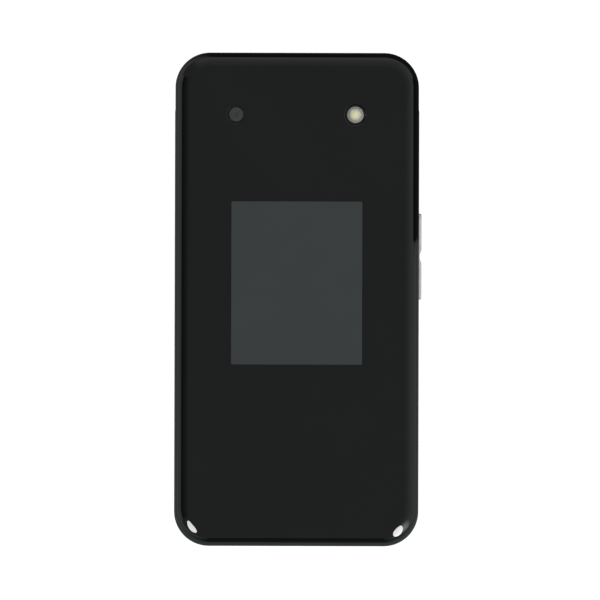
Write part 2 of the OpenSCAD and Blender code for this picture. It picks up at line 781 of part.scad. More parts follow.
// Cap through the plate, flange under it and stem down to its dome
module key_body(pos, w, l) {
    translate([pos[0], pos[1], flange_top - eps])
        slab(w, l, base_t + key_proud - flange_top + eps, key_corner_r, high_r = key_edge_r);
    translate([pos[0], pos[1], flange_top - flange_t])
        linear_extrude(flange_t) rounded_rect(w + 2 * key_lip, l + 2 * key_lip, key_corner_r);
    post(pos, stem_r, stem_z, flange_top - flange_t + eps);
}

module number_key(i) color("#202226") key_body(number_key_pos(i), key_w, key_l);

module function_key(i) color(i == 2 ? "#1f7a44" : i == 3 ? "#a32a2a" : "#26282c")
    key_body(function_key_pos(i), side_key_w, side_key_l);

// Thin centring web between the ring and the sheet
module nav_web() color("#8f9396")
    translate([0, nav_y, dome_top + 0.1])
        difference() {
            cylinder(r = web_r, h = 0.2);
            translate([0, 0, -1]) cylinder(r = web_r - web_w, h = 3);
        }

module nav_ring() color("#2b2d31") {
    low = nav_low;
    inner_r = select_r + 0.3;
    lip_inner_r = web_r + 0.8;
    top = base_t + key_proud;
    translate([0, nav_y, 0])
        rotate_extrude()
            difference() {
                union() {
                    translate([inner_r, low + 0.4]) square([nav_r - inner_r, top - low - 0.4]);
                    translate([lip_inner_r, low])
                        square([nav_r + nav_lip - lip_inner_r, plate_z - nav_play - low]);
                }
                // Room for the select key's flange, and a finger groove on top
                translate([0, low]) square([select_r + 1.2, 1]);
                translate([(nav_r + inner_r) / 2, top + 7.7]) circle(8);
                translate([nav_r - key_edge_r, top - key_edge_r])
                    difference() { square(1); circle(key_edge_r); }
            }
}

module select_key() color("#33363a") {
    top = base_t + key_proud;
    flange_z = stem_z + 0.5;
    translate([0, nav_y, 0]) {
        rotate_extrude()
            difference() {
                square([select_r, top]);
                square([select_r + 1, flange_z]);
                translate([select_r - key_edge_r, top - key_edge_r])
                    difference() { square(1); circle(key_edge_r); }
            }
        translate([0, 0, flange_z]) cylinder(r = select_r + 0.8, h = 0.3);
        translate([0, 0, stem_z]) cylinder(r = stem_r, h = flange_z - stem_z + eps);
    }
}

rocker_back_x = base_w / 2 - base_wall - 1.2;
rocker_flange_t = 0.9;

// Two pads with a waist between them, and a flange behind the wall
module volume_rocker() color("#c9ccd0") {
    y = end_y - rocker_from_end;
    face_x = base_w / 2 + rocker_proud;
    difference() {
        translate([rocker_back_x, y, rocker_z]) rotate([90, 0, 90])
            slab(rocker_l, rocker_h, face_x - rocker_back_x, 1.0, high_r = 0.35);
        translate([face_x + 2.1, y, rocker_z]) cylinder(r = 2.5, h = rocker_h + 2, center = true);
    }
    translate([rocker_back_x - rocker_flange_t / 3, y, rocker_z]) rotate([90, 0, 90])
        linear_extrude(rocker_flange_t) rounded_rect(rocker_l + 0.8, rocker_h + 0.6, 1.0);
}

// ---------- Hinge ----------

module hinge_cam_shaft() color("#a7aaad") {
    intersection() {
        on_axis(cam_head_r, ear_x + fit, ear_x + ear_pocket - fit);
        cam_flat(0);
    }
    on_axis(cam_shaft_r, cam_x0, ear_x + fit + eps);
    on_axis(cartridge_r - 0.6, cam_x0, cartridge_x1 - cam_wall - 0.1);
}

cartridge_x1 = barrel_l / 2 - 0.1;
cartridge_x0 = cartridge_x1 - cartridge_l;
cam_x0 = cartridge_x1 - cam_wall - 2.2;

// Can that holds the spring, with a hole for the shaft
module hinge_cartridge() color("#b7babd")
    difference() {
        on_axis(cartridge_r, cartridge_x0, cartridge_x1);
        on_axis(cartridge_r - 0.45, cartridge_x0 + cam_wall, cartridge_x1 - cam_wall);
        on_axis(cam_shaft_r + fit, cartridge_x1 - cam_wall - 1, cartridge_x1 + 1);
    }

// Round-wire compression spring, from the can's floor to the cam
spring_wire_r = 0.38;
spring_coil_r = cartridge_r - 0.45 - spring_wire_r - 0.2;
spring_x0 = cartridge_x0 + cam_wall + spring_wire_r + fit;
spring_x1 = cam_x0 - spring_wire_r - fit;
spring_turns = 6;
spring_rings = 12 * spring_turns;
spring_sides = 6;

function coil_point(i) = [
    spring_x0 + (spring_x1 - spring_x0) * i / spring_rings,
    hinge_y + spring_coil_r * cos(360 * spring_turns * i / spring_rings),
    hinge_z + spring_coil_r * sin(360 * spring_turns * i / spring_rings)
];
function wire_point(i, j) =
    let (a = 360 * spring_turns * i / spring_rings, b = 360 * j / spring_sides)
    coil_point(i) + spring_wire_r * (cos(b) * [0, cos(a), sin(a)] + sin(b) * [1, 0, 0]);

module hinge_spring() color("#dcdee0")
    polyhedron(
        points = [for (i = [0:spring_rings], j = [0:spring_sides - 1]) wire_point(i, j)],
        faces = concat(
            [[for (j = [0:spring_sides - 1]) j]],
            [for (i = [0:spring_rings - 1], j = [0:spring_sides - 1])
                let (k = (j + 1) % spring_sides, a = i * spring_sides)
                    [a + j, a + spring_sides + j, a + k]],
            [for (i = [0:spring_rings - 1], j = [0:spring_sides - 1])
                let (k = (j + 1) % spring_sides, a = (i + 1) * spring_sides)
                    [a + j, a + k, a - spring_sides + k]],
            [[for (j = [spring_sides - 1:-1:0]) spring_rings * spring_sides + j]]
        )
    );

module hinge_hollow_pin() color("#a7aaad")
    difference() {
        on_axis(pin_r, -ear_x - ear_pocket + fit, -barrel_l / 2 + bearing_l);
        on_axis(pin_bore_r, -ear_x - ear_pocket - 1, 0);
    }

// Rolled ribbon through the pin, with its tail into the lid
module hinge_flex() color("#c7832f") {
    difference() {
        on_axis(flex_r, -ear_x - ear_pocket + 0.6, -5);
        on_axis(flex_r - 0.25, -reach, reach);
    }
    translate([flex_tail[0], flex_tail_y, hinge_z + flex_r - 0.2])
        cube([flex_tail[1], hinge_y - flex_tail_y, 0.2]);
    translate([flex_tail[0], flex_tail_y, hinge_z + flex_r - 0.2])
        cube([flex_tail[1], 0.2, lid_board_z - eps - hinge_z - flex_r + 0.2]);
}

flex_tail = [-10, 4.6];      // where the ribbon's tail starts along X, and its width
flex_tail_y = lid_web_y - 1.4;

// ---------- Lid: shells ----------

module outer_cover() color("#0d0e10")
    difference() {
        lid_form(0, cover_z, top_z);
        intersection() {
            lid_form(cover_t, lid_z, top_z);
            block([0, 0], [reach, reach], cover_z - 1, cover_under);
        }
        ear_room();
        translate([0, window_y, cover_under - 1])
            linear_extrude(cover_t + 2) rounded_rect(window_w, window_l, 0.3);
        for (spot = [[camera_x, camera_r], [flash_x, flash_hole_r]])
            translate([spot[0], camera_y, 0]) {
                translate([0, 0, cover_under - 1]) cylinder(r = spot[1], h = cover_t + 2);
                translate([0, 0, top_z - 0.2]) cylinder(r1 = spot[1], r2 = spot[1] + 0.25, h = 0.25);
            }
    }

module display_window() color("#3d4143", 0.6)
    translate([0, window_y, cover_under])
        linear_extrude(cover_t)
            rounded_rect(window_w - 2 * fit / 5, window_l - 2 * fit / 5, 0.3);

// Window over the camera, a little below the cover's face
module camera_lens() color("#2c2e30", 0.7)
    post([camera_x, camera_y], camera_r - fit, cover_under + 0.1, top_z - 0.25);

// Flange, body and clear dome
module flash_lamp() color("#e8e6c8") {
    dome_z = top_z - 0.75;
    translate([flash_x, camera_y, 0]) {
        translate([0, 0, lid_board_z + lid_board_t])
            cylinder(r = flash_r, h = dome_z - lid_board_z - lid_board_t);
        translate([0, 0, cover_under - 0.6]) cylinder(r = flash_hole_r - 0.15, h = 0.9);
        translate([0, 0, dome_z - eps])
            rotate_extrude()
                intersection() {
                    square([flash_r, 1]);
                    translate([0, 0.7 - (pow(flash_r, 2) + 0.49) / 1.4])
                        circle((pow(flash_r, 2) + 0.49) / 1.4);
                }
    }
}

// Band, lip and floor of the lid, moulded with the hinge barrel
module lid_frame() color("#1b1c1f")
    difference() {
        union() {
            difference() {
                lid_form(0, frame_z, cover_z);
                block([0, end_y], [reach, 2 * (end_y - hinge_y)], frame_z - 1, cover_z + 1);
            }
            // Lip inside the cover's wall
            lid_form(cover_t + fit, frame_z, cover_z + 1.4);
            on_axis(hinge_r, -barrel_l / 2, barrel_l / 2);
            intersection() {
                cheeks(hinge_r);
                translate([0, lid_mid_y, 0])
                    linear_extrude(cover_z) rounded_rect(lid_w, lid_l, corner_r);
            }
        }
        ear_room();
        // Past the axis only the barrel, its root and the cheeks are left
        difference() {
            block([0, end_y], [reach, 2 * (end_y - hinge_y)], 0, top_z);
            on_axis(hinge_r, -barrel_l / 2, barrel_l / 2);
            cheeks(hinge_r);
            block([0, end_y], [barrel_l, reach], cover_z, top_z);
        }
        frame_cavities();
        barrel_bores();
        block([camera_x, camera_y], camera_size + 2 * [slide_fit, slide_fit], lid_z, top_z);
        for (p = bumper_spots) post(p, lid_screw_r, lid_z, lid_board_z);
    }

// Room under the floor for the main display, and over it for the board
module frame_cavities() {
    y0 = thumb_y + thumb_lip + frame_wall;
    under_y0 = lens_y0 + ledge_w - 2.2;
    under_y1 = main_display_y + main_display_l / 2 + slide_fit;
    block([0, (under_y0 + under_y1) / 2],
        [max(main_display_w, 12) + 2 * slide_fit, under_y1 - under_y0], lid_z, frame_floor_z);
    intersection() {
        lid_form(board_room_inset, frame_floor_z + frame_floor_t, top_z);
        block([0, (y0 + lid_web_y) / 2], [reach, lid_web_y - y0], 0, top_z);
    }
}

module barrel_bores() {
    on_axis(cartridge_r + fit, cartridge_x0 - fit, barrel_l / 2 + 1);
    on_axis(pin_r + 0.06, -barrel_l / 2 - 1, 0 - barrel_l / 2 + bearing_l + eps);
    on_axis(pin_r + 0.9, -barrel_l / 2 + bearing_l, -4);
    // Way for the ribbon's tail, up to the lid's board
    translate([flex_tail[0] - slide_fit, flex_tail_y - 1, hinge_z + flex_r - 0.5])
        cube([flex_tail[1] + 2 * slide_fit, hinge_y - flex_tail_y + 1, 0.8]);
    translate([flex_tail[0] - slide_fit, flex_tail_y - 0.3, hinge_z + flex_r - 0.5])
        cube([flex_tail[1] + 2 * slide_fit, 0.8, lid_board_z - hinge_z]);
}

module lid_inner_housing() color("#141518")
    difference() {
        lid_form(0, lid_z, frame_z - fit / 2);
        // Pocket for the lens and the opening behind it
        translate([0, lens_y, lid_z - 1])
            linear_extrude(1 + lens_t + fit)
                rounded_rect(lens_w + 2 * fit, lens_l + 2 * fit, lens_corner_r + fit);
        translate([0, lens_y, lid_z])
            linear_extrude(bezel_h + 1)
                rounded_rect(lens_w - 2 * ledge_w, lens_l - 2 * ledge_w, lens_corner_r - ledge_w);
        on_axis(turn_r, -reach, reach);
        block([0, end_y], [reach, 2 * (end_y - hinge_y)], 0, top_z);
        for (p = bumper_spots) {
            post(p, bumper_r + fit, lid_z - 1, lid_z + bumper_sink);
            post(p, 2 * lid_screw_r + fit, lid_z, lid_z + bumper_sink + 0.55);
            post(p, lid_screw_r + fit, lid_z, top_z);
        }
    }

// ---------- Lid: displays, board and small pieces ----------

module main_display_lens() color("#101113")
    translate([0, lens_y, lid_z])
        linear_extrude(lens_t)
            difference() {
                rounded_rect(lens_w, lens_l, lens_corner_r);
                translate([0, lens_y0 + 3.6 - lens_y]) rounded_rect(10, 1.4, 0.69);
            }

module main_display() color("#2a2f33")
    block([0, main_display_y], [main_display_w, main_display_l], main_display_z,
        min(main_display_z + main_display_t, frame_floor_z - eps));

module outer_display() color("#3d4143")
    block([0, window_y], [small_display_w, small_display_l],
        small_display_z, small_display_z + small_display_t);

module earpiece_mesh() color("#6d7073")
    block([0, lens_y0 + 3.6], [11, 2.4], lid_z + lens_t, lid_z + lens_t + 0.2);

module earpiece() color("#55585b")
    block([0, lens_y0 + 4.4], [12, 6], lid_z + lens_t + 0.2 + eps, frame_floor_z - fit);

module camera_module() color("#1a1b1d") {
    z0 = frame_z + fit;
    block([camera_x, camera_y], camera_size, z0, cover_under - 1.2);
    post([camera_x, camera_y], 2.6, cover_under - 1.2 - eps, cover_under - fit);
}

module lid_board() color("#1f5b3a") {
    w = lid_w - 2 * (board_room_inset + 2 * slide_fit);
    y1 = lid_web_y - slide_fit;
    y0 = window_y - small_display_l / 2 - 8;
    translate([0, 0, lid_board_z])
        linear_extrude(lid_board_t)
            difference() {
                translate([0, (y0 + y1) / 2]) rounded_rect(w, y1 - y0, 2);
                translate([camera_x, camera_y]) square(camera_size + [1, 1], center = true);
            }
}

module lid_magnet() color("#b9bcbf")
    block([-16, thumb_y + thumb_lip + 8], [8, 2], lid_board_z - fit, lid_board_z + 1.6);

module lid_bumpers() color("#232426")
    for (p = bumper_spots)
        translate([p[0], p[1], base_t + fit])
            rotate_extrude()
                difference() {
                    square([bumper_r, lid_z + bumper_sink - base_t - 2 * fit]);
                    translate([bumper_r - 0.3, 0.3])
                        difference() { translate([0, -1]) square(1); circle(0.3); }
                }

module lid_screws() color("#8d9093")
    for (p = bumper_spots) {
        z = lid_z + bumper_sink;
        difference() {
            post(p, 2 * lid_screw_r, z + fit, z + 0.5);
            post(p, lid_screw_r * 0.7, z - 1, z + 0.3);
        }
        post(p, lid_screw_r, z + 0.5 - eps, lid_board_z - 0.3);
    }

// ---------- What is drawn ----------

base_front_housing();
base_rear_housing();
battery_cover();
battery();
battery_contacts();
main_board();
board_shields();
dome_sheet();
keypad_mat();
loudspeaker();
microphone();
usb_socket();
headphone_socket();
sim_holder();
antenna();
base_screws();
vibration_motor();
motor_weight();
side_switch_flex();
hinge_cam_shaft();
hinge_hollow_pin();
volume_rocker();
nav_web();
nav_ring();
select_key();
outer_cover();
display_window();
camera_lens();
flash_lamp();
outer_display();
camera_module();
lid_board();
lid_frame();
lid_inner_housing();
main_display();
main_display_lens();
earpiece();
earpiece_mesh();
lid_bumpers();
lid_screws();
lid_magnet();
hinge_cartridge();
hinge_spring();
hinge_flex();
for (i = [0:11]) number_key(i);
for (i = [0:3]) function_key(i);
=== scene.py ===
"""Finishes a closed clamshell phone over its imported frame, and sets up its studio."""

import json
import math

import bmesh
import bpy
from bpy.props import FloatProperty, FloatVectorProperty, PointerProperty
from mathutils import Matrix, Vector


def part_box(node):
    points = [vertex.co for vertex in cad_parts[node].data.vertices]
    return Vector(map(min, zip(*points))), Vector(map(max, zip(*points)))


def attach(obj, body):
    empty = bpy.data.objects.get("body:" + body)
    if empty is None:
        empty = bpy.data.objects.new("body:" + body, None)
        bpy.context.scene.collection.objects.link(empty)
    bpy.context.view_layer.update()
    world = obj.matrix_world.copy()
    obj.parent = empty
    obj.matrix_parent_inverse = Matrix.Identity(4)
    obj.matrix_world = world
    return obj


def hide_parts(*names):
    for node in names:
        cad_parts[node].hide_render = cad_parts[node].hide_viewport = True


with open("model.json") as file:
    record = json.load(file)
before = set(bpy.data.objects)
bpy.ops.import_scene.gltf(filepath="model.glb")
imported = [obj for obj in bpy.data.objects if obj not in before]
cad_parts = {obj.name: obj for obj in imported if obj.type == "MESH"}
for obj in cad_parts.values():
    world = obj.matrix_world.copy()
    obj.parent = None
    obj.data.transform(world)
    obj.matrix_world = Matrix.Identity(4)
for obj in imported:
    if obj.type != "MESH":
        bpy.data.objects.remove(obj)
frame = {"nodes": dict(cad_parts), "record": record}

bl_info = {
    "name": "Clamshell Phone Finish",
    "version": (1, 0, 0),
    "blender": (4, 5, 0),
    "location": "3D View > Sidebar > Phone",
    "description": "Builds the phone's outer pieces and finishes over its frame",
    "category": "Object",
}

MM = 0.001
TINY = 0.002 * MM
CREASE = math.radians(38)
FLAT_NORMAL = 0.99999
FACE_STRENGTH = "__mod_weightednormals_faceweight"
STRONG = 16384
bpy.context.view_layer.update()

NUMBER_KEYS = [f"key_{mark}" for mark in (1, 2, 3, 4, 5, 6, 7, 8, 9, "star", 0, "hash")]
FUNCTION_KEYS = ["key_soft_left", "key_soft_right", "key_call", "key_end"]


# ---------- Sizes and colours that a user would change ----------


def length(name, text, default):
    """A length in metres, shown in the scene's unit."""
    return FloatProperty(
        name=name, description=text, default=default, min=0, unit="LENGTH", subtype="DISTANCE",
        precision=5,
    )


def colour(name, text, default):
    """A linear colour."""
    return FloatVectorProperty(
        name=name, description=text, default=default, size=3, min=0, max=1, subtype="COLOR"
    )


class PhoneSizes(bpy.types.PropertyGroup):
    corner: length("Corner", "Radius of the four corners, seen from above", 7.6 * MM)
    cover_round: length("Cover edge", "Rounding of the outer cover's edge", 3.3 * MM)
    cover_wall: length("Cover wall", "Thickness of the outer cover", 1.2 * MM)
    opening_edge: length("Opening edge", "Bevel round the window's opening", 0.1 * MM)
    lens_edge: length("Lens edge", "Bevel round the camera's and the flash's openings", 0.16 * MM)
    shell_edge: length("Shell edge", "Bevel of the housings' edges", 0.12 * MM)
    digit: length("Digit height", "Height of the digits on the keys", 4.6 * MM)
    mark_rise: length("Mark rise", "How far the printed marks stand above the keys", 0.02 * MM)
    screen_width: length("Screen width", "Width of the main display's active area", 43.2 * MM)
    screen_length: length("Screen length", "Length of the main display's active area", 57.6 * MM)


class PhoneColours(bpy.types.PropertyGroup):
    gloss: colour("Gloss black", "Outer cover", (0.0046, 0.0052, 0.0052))
    base: colour("Base black", "Keypad half and battery cover", (0.0250, 0.0390, 0.0400))
    band: colour("Band black", "Lid frame and display bezel", (0.0080, 0.0085, 0.0090))
    window: colour("Window grey", "Outer display behind its window", (0.0440, 0.0510, 0.0525))
    lens: colour("Lens grey", "Camera window", (0.0480, 0.0510, 0.0460))
    dome: colour("Dome white", "Flash dome's frosted edge", (0.62, 0.62, 0.53))
    die: colour("Die yellow", "Phosphor under the flash dome", (0.66, 0.68, 0.36))
    silver: colour("Silver", "Volume rocker", (0.92, 0.93, 0.91))
    keys: colour("Key black", "Key caps", (0.012, 0.013, 0.015))
    ring: colour("Ring grey", "Navigation ring", (0.060, 0.063, 0.068))
    marks: colour("Mark white", "Digits and marks", (0.70, 0.72, 0.74))
    call: colour("Call green", "Mark on the call key", (0.03, 0.42, 0.10))
    end: colour("End red", "Mark on the end key", (0.55, 0.03, 0.03))


class PhoneStudio(bpy.types.PropertyGroup):
    height: length("Camera height", "From the lid's widest level up to the camera", 1.2)
    field: length("Field", "Width that the camera sees at that level", 131.1 * MM)
    shift_x: FloatProperty(
        name="Camera X", description="Sideways place of the camera", default=0.72 * MM,
        unit="LENGTH", subtype="DISTANCE", precision=5,
    )
    roll: FloatProperty(
        name="Camera roll", description="Turn of the camera about its own axis",
        default=math.radians(0.156), unit="ROTATION", subtype="ANGLE", precision=3,
    )
    level: length("Focus level", "Height of the silhouette above the floor", 15 * MM)
    soft_light: FloatProperty(
        name="Soft light", description="Radiance of the two softboxes", default=17, min=0
    )
    fill: FloatProperty(
        name="Fill", description="Light that the large overhead sheet gives", default=0.91, min=0
    )


def settings():
    scene = bpy.context.scene
    return scene.phone_sizes, scene.phone_colours, scene.phone_studio


# ---------- Mesh tools ----------


def box_mesh(low, high):
    """Box between two corners."""
    bm = bmesh.new()
    place = Matrix.Translation((low + high) / 2) @ Matrix.Diagonal((*(high - low), 1))
    bmesh.ops.create_cube(bm, size=1, matrix=place)
    return bm


def bevel(bm, edges, width, steps):
    bmesh.ops.bevel(
        bm, geom=edges, offset=width, offset_type="OFFSET", segments=steps, profile=0.5,
        affect="EDGES", clamp_overlap=True, material=-1,
    )


def upright(edge):
    a, b = edge.verts
    return (a.co.xy - b.co.xy).length < TINY


def rim(bm, z):
    """Edges that lie at one level."""
    return [e for e in bm.edges if all(abs(v.co.z - z) < TINY for v in e.verts)]


def sharp(edges, least=40):
    """Those edges that turn by at least so many degrees."""
    return [e for e in edges if e.is_manifold and e.calc_face_angle() > math.radians(least)]


def plate_mesh(low, high, corner, top=0, bottom=0, steps=5):
    """Plate with round corners and rounded upper and lower edges."""
    bm = box_mesh(low, high)
    bevel(bm, [e for e in bm.edges if upright(e)], corner, 3 * steps)
    if top:
        bevel(bm, rim(bm, high.z), top, steps)
    if bottom:
        bevel(bm, rim(bm, low.z), bottom, steps)
    return bm


def rod_mesh(start, end, radius, sides=64):
    """Round rod between two points."""
    bm = bmesh.new()
    way = end - start
    place = Matrix.Translation((start + end) / 2) @ way.to_track_quat("Z", "Y").to_matrix().to_4x4()
    bmesh.ops.create_cone(
        bm, cap_ends=True, segments=sides, radius1=radius, radius2=radius, depth=way.length,
        matrix=place,
    )
    return bm


def lathe(profile, centre, steps=64):
    """Turned piece about an upright axis, from its profile of radius and height."""
    bm = bmesh.new()
    verts = [bm.verts.new(centre + Vector((r, 0, z))) for r, z in profile]
    edges = [bm.edges.new(pair) for pair in zip(verts, verts[1:])]
    bmesh.ops.spin(
        bm, geom=verts + edges, cent=centre, axis=(0, 0, 1), angle=math.tau, steps=steps,
        use_merge=True, use_duplicate=False,
    )
    bmesh.ops.remove_doubles(bm, verts=bm.verts, dist=TINY)
    bmesh.ops.recalc_face_normals(bm, faces=bm.faces)
    return bm


def to_object(name, bm):
    mesh = bpy.data.meshes.new(name)
    bm.to_mesh(mesh)
    bm.free()
    made = bpy.data.objects.new(name, mesh)
    bpy.context.scene.collection.objects.link(made)
    return made


def baked(made):
    """The object's mesh with its modifiers, as a new bmesh. The object goes."""
    seen = made.evaluated_get(bpy.context.evaluated_depsgraph_get())
    bm = bmesh.new()
    bm.from_mesh(seen.to_mesh())
    bpy.data.objects.remove(made)
    return bm


def combine(operation, bm, *others):
    """One mesh from several solids: DIFFERENCE takes the others away, UNION adds them."""
    body = to_object("first_solid", bm)
    tools = [to_object("other_solid", other) for other in others]
    for tool in tools:
        step = body.modifiers.new("Solid", "BOOLEAN")
        step.operation = operation
        step.solver = "EXACT"
        step.object = tool
    done = baked(body)
    for tool in tools:
        bpy.data.objects.remove(tool)
    return done


def frame_copy(node, flat=math.radians(0.5)):
    """A node's mesh with its seams merged and its flat faces joined."""
    bm = bmesh.new()
    bm.from_mesh(frame["nodes"][node].data)
    bmesh.ops.remove_doubles(bm, verts=bm.verts, dist=TINY / 2)
    bmesh.ops.dissolve_limit(
        bm, angle_limit=flat, use_dissolve_boundaries=False, verts=bm.verts,
        edges=bm.edges,
    )
    return bm


def join(parts):
    """Several meshes as one."""
    whole = bmesh.new()
    for part in parts:
        mesh = bpy.data.meshes.new("part")
        part.to_mesh(mesh)
        part.free()
        whole.from_mesh(mesh)
        bpy.data.meshes.remove(mesh)
    return whole


def make_piece(name, bm, materials, body, nodes=()):
    """A finished piece: smooth but for its sharp edges, with true flats, riding on its body."""
    strength = bm.faces.layers.int.new(FACE_STRENGTH)
    for face in bm.faces:
        face.smooth = True
        if max(abs(part) for part in face.normal) > FLAT_NORMAL:
            face[strength] = STRONG
    for edge in bm.edges:
        edge.smooth = edge.is_manifold and edge.calc_face_angle() < CREASE
    piece = to_object(name, bm)
    for finish in materials:
        piece.data.materials.append(finish)
    weigh = piece.modifiers.new("Weighted normals", "WEIGHTED_NORMAL")
    weigh.keep_sharp = True
    weigh.use_face_influence = True
    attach(piece, body)
    if nodes:
        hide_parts(*nodes)
    return piece


# ---------- Effects that materials share ----------


def new_effect(name, inputs, outputs):
    """Empty node group with named sockets, and its nodes by kind."""
    group = bpy.data.node_groups.new(name, "ShaderNodeTree")
    for label, default in inputs.items():
        kind = "NodeSocketColor" if isinstance(default, tuple) else "NodeSocketFloat"
        group.interface.new_socket(label, in_out="INPUT", socket_type=kind).default_value = default
    for label, kind in outputs.items():
        group.interface.new_socket(label, in_out="OUTPUT", socket_type=kind)
    start = group.nodes.new("NodeGroupInput")
    end = group.nodes.new("NodeGroupOutput")
    return group, start.outputs, end.inputs


def add_node(tree, kind, **values):
    """New node with its properties set by name, and its sockets by 'in_' and number."""
    node = tree.nodes.new("ShaderNode" + kind)
    for key, value in values.items():
        if key.startswith("in_"):
            node.inputs[int(key[3:])].default_value = value
        else:
            setattr(node, key, value)
    return node


def wire(tree, *pairs):
    for source, target in pairs:
        tree.links.new(source, target)


def noise(tree, scale, detail=2.0, roughness=0.5, stretch=None):
    """Noise on the piece's own coordinates, as its factor."""
    place = add_node(tree, "TexCoord").outputs["Object"]
    if stretch:
        mapping = add_node(tree, "Mapping")
        mapping.inputs["Scale"].default_value = stretch
        wire(tree, (place, mapping.inputs["Vector"]))
        place = mapping.outputs["Vector"]
    made = add_node(tree, "TexNoise")
    made.inputs["Detail"].default_value = detail
    made.inputs["Roughness"].default_value = roughness
    if isinstance(scale, (int, float)):
        made.inputs["Scale"].default_value = scale
    else:
        wire(tree, (scale, made.inputs["Scale"]))
    wire(tree, (place, made.inputs["Vector"]))
    return made.outputs["Fac"]


def band(tree, value, low, high):
    """Zero below low, one above high, smooth between."""
    step = add_node(tree, "MapRange", interpolation_type="SMOOTHSTEP", in_1=low, in_2=high)
    wire(tree, (value, step.inputs[0]))
    return step.outputs[0]


def product(tree, first, second):
    """Two values multiplied."""
    node = add_node(tree, "Math", operation="MULTIPLY")
    wire(tree, (first, node.inputs[0]), (second, node.inputs[1]))
    return node.outputs[0]


def blend_colours(tree, mask, first, second):
    """Mix of two colours, each a socket or a fixed colour."""
    mix = add_node(tree, "Mix", data_type="RGBA")
    wire(tree, (mask, mix.inputs[0]))
    colours = [socket for socket in mix.inputs if socket.type == "RGBA"]
    for source, place in zip((first, second), colours):
        if isinstance(source, bpy.types.NodeSocket):
            wire(tree, (source, place))
        else:
            place.default_value = (*source, 1)
    return next(socket for socket in mix.outputs if socket.type == "RGBA")


def blend_values(tree, mask, first, second):
    mix = add_node(tree, "Mix", data_type="FLOAT")
    wire(tree, (mask, mix.inputs[0]))
    for source, place in ((first, mix.inputs[2]), (second, mix.inputs[3])):
        if isinstance(source, (int, float)):
            place.default_value = source
        else:
            wire(tree, (source, place))
    return mix.outputs[0]


PATCH_BAND = (0.42, 0.68)
SPECK_SCALE = 2600.0
SPECK_BAND = (0.66, 0.74)
WORN_BAND = (0.985, 0.86)
WORN_BREAKS = 700.0
BRUSH_STRETCH = (0.08, 4, 4)


def handling_effect():
    """Faint smears and specks left by hands: a colour and a roughness."""
    group, given, made = new_effect(
        "Handling",
        {"Clean": (0.01, 0.01, 0.01, 1), "Handled": (0.02, 0.02, 0.02, 1), "Roughness": 0.3,
         "Smear": 0.05, "Size": 90.0},
        {"Color": "NodeSocketColor", "Roughness": "NodeSocketFloat"},
    )
    patches = band(group, noise(group, given["Size"], 4.0, 0.6), *PATCH_BAND)
    specks = band(group, noise(group, SPECK_SCALE, 3.0, 0.7), *SPECK_BAND)
    both = add_node(group, "Math", operation="ADD", use_clamp=True)
    wire(group, (patches, both.inputs[0]), (specks, both.inputs[1]))
    rough = add_node(group, "Math", operation="MULTIPLY_ADD")
    wire(
        group,
        (blend_colours(group, both.outputs[0], given["Clean"], given["Handled"]), made["Color"]),
        (both.outputs[0], rough.inputs[0]), (given["Smear"], rough.inputs[1]),
        (given["Roughness"], rough.inputs[2]), (rough.outputs[0], made["Roughness"]),
    )
    return group


def grain_effect():
    """Spark-eroded grain of moulded plastic, as a height."""
    group, given, made = new_effect("Grain", {"Scale": 5000.0}, {"Height": "NodeSocketFloat"})
    wire(group, (noise(group, given["Scale"], 3.0, 0.6), made["Height"]))
    return group


def edge_effect():
    """Mask of the edges that rub bare first, where a rounded edge turns off the true face."""
    group, given, made = new_effect("Edge wear", {"Reach": 0.1 * MM}, {"Mask": "NodeSocketFloat"})
    rounded = add_node(group, "Bevel", samples=6)
    turned = add_node(group, "VectorMath", operation="DOT_PRODUCT")
    edges = band(group, turned.outputs["Value"], *WORN_BAND)
    wire(
        group, (given["Reach"], rounded.inputs["Radius"]),
        (rounded.outputs[0], turned.inputs[0]),
        (add_node(group, "NewGeometry").outputs["Normal"], turned.inputs[1]),
        (product(group, edges, noise(group, WORN_BREAKS, 3.0)), made["Mask"]),
    )
    return group


def brushed_effect():
    """Fine lines along one direction, as a height."""
    group, given, made = new_effect("Brushed", {"Scale": 900.0}, {"Height": "NodeSocketFloat"})
    wire(group, (noise(group, given["Scale"], 2.0, 0.5, BRUSH_STRETCH), made["Height"]))
    return group


EFFECTS = {}
FINISHES = {}


def effect(name, tree, **values):
    """A shared effect placed in a material, with its own values."""
    makers = {
        "Handling": handling_effect, "Grain": grain_effect, "Edge wear": edge_effect,
        "Brushed": brushed_effect,
    }
    if name not in EFFECTS:
        EFFECTS[name] = makers[name]()
    node = tree.nodes.new("ShaderNodeGroup")
    node.node_tree = EFFECTS[name]
    for label, value in values.items():
        node.inputs[label].default_value = value
    return node.outputs


def new_finish(name):
    """Empty material, its tree and its shader."""
    made = bpy.data.materials.new(name)
    made.use_nodes = True
    tree = made.node_tree
    return made, tree, tree.nodes["Principled BSDF"]


def bump(tree, shader, height, strength, distance):
    node = add_node(tree, "Bump")
    node.inputs["Strength"].default_value = strength
    node.inputs["Distance"].default_value = distance
    wire(tree, (height, node.inputs["Height"]), (node.outputs[0], shader.inputs["Normal"]))


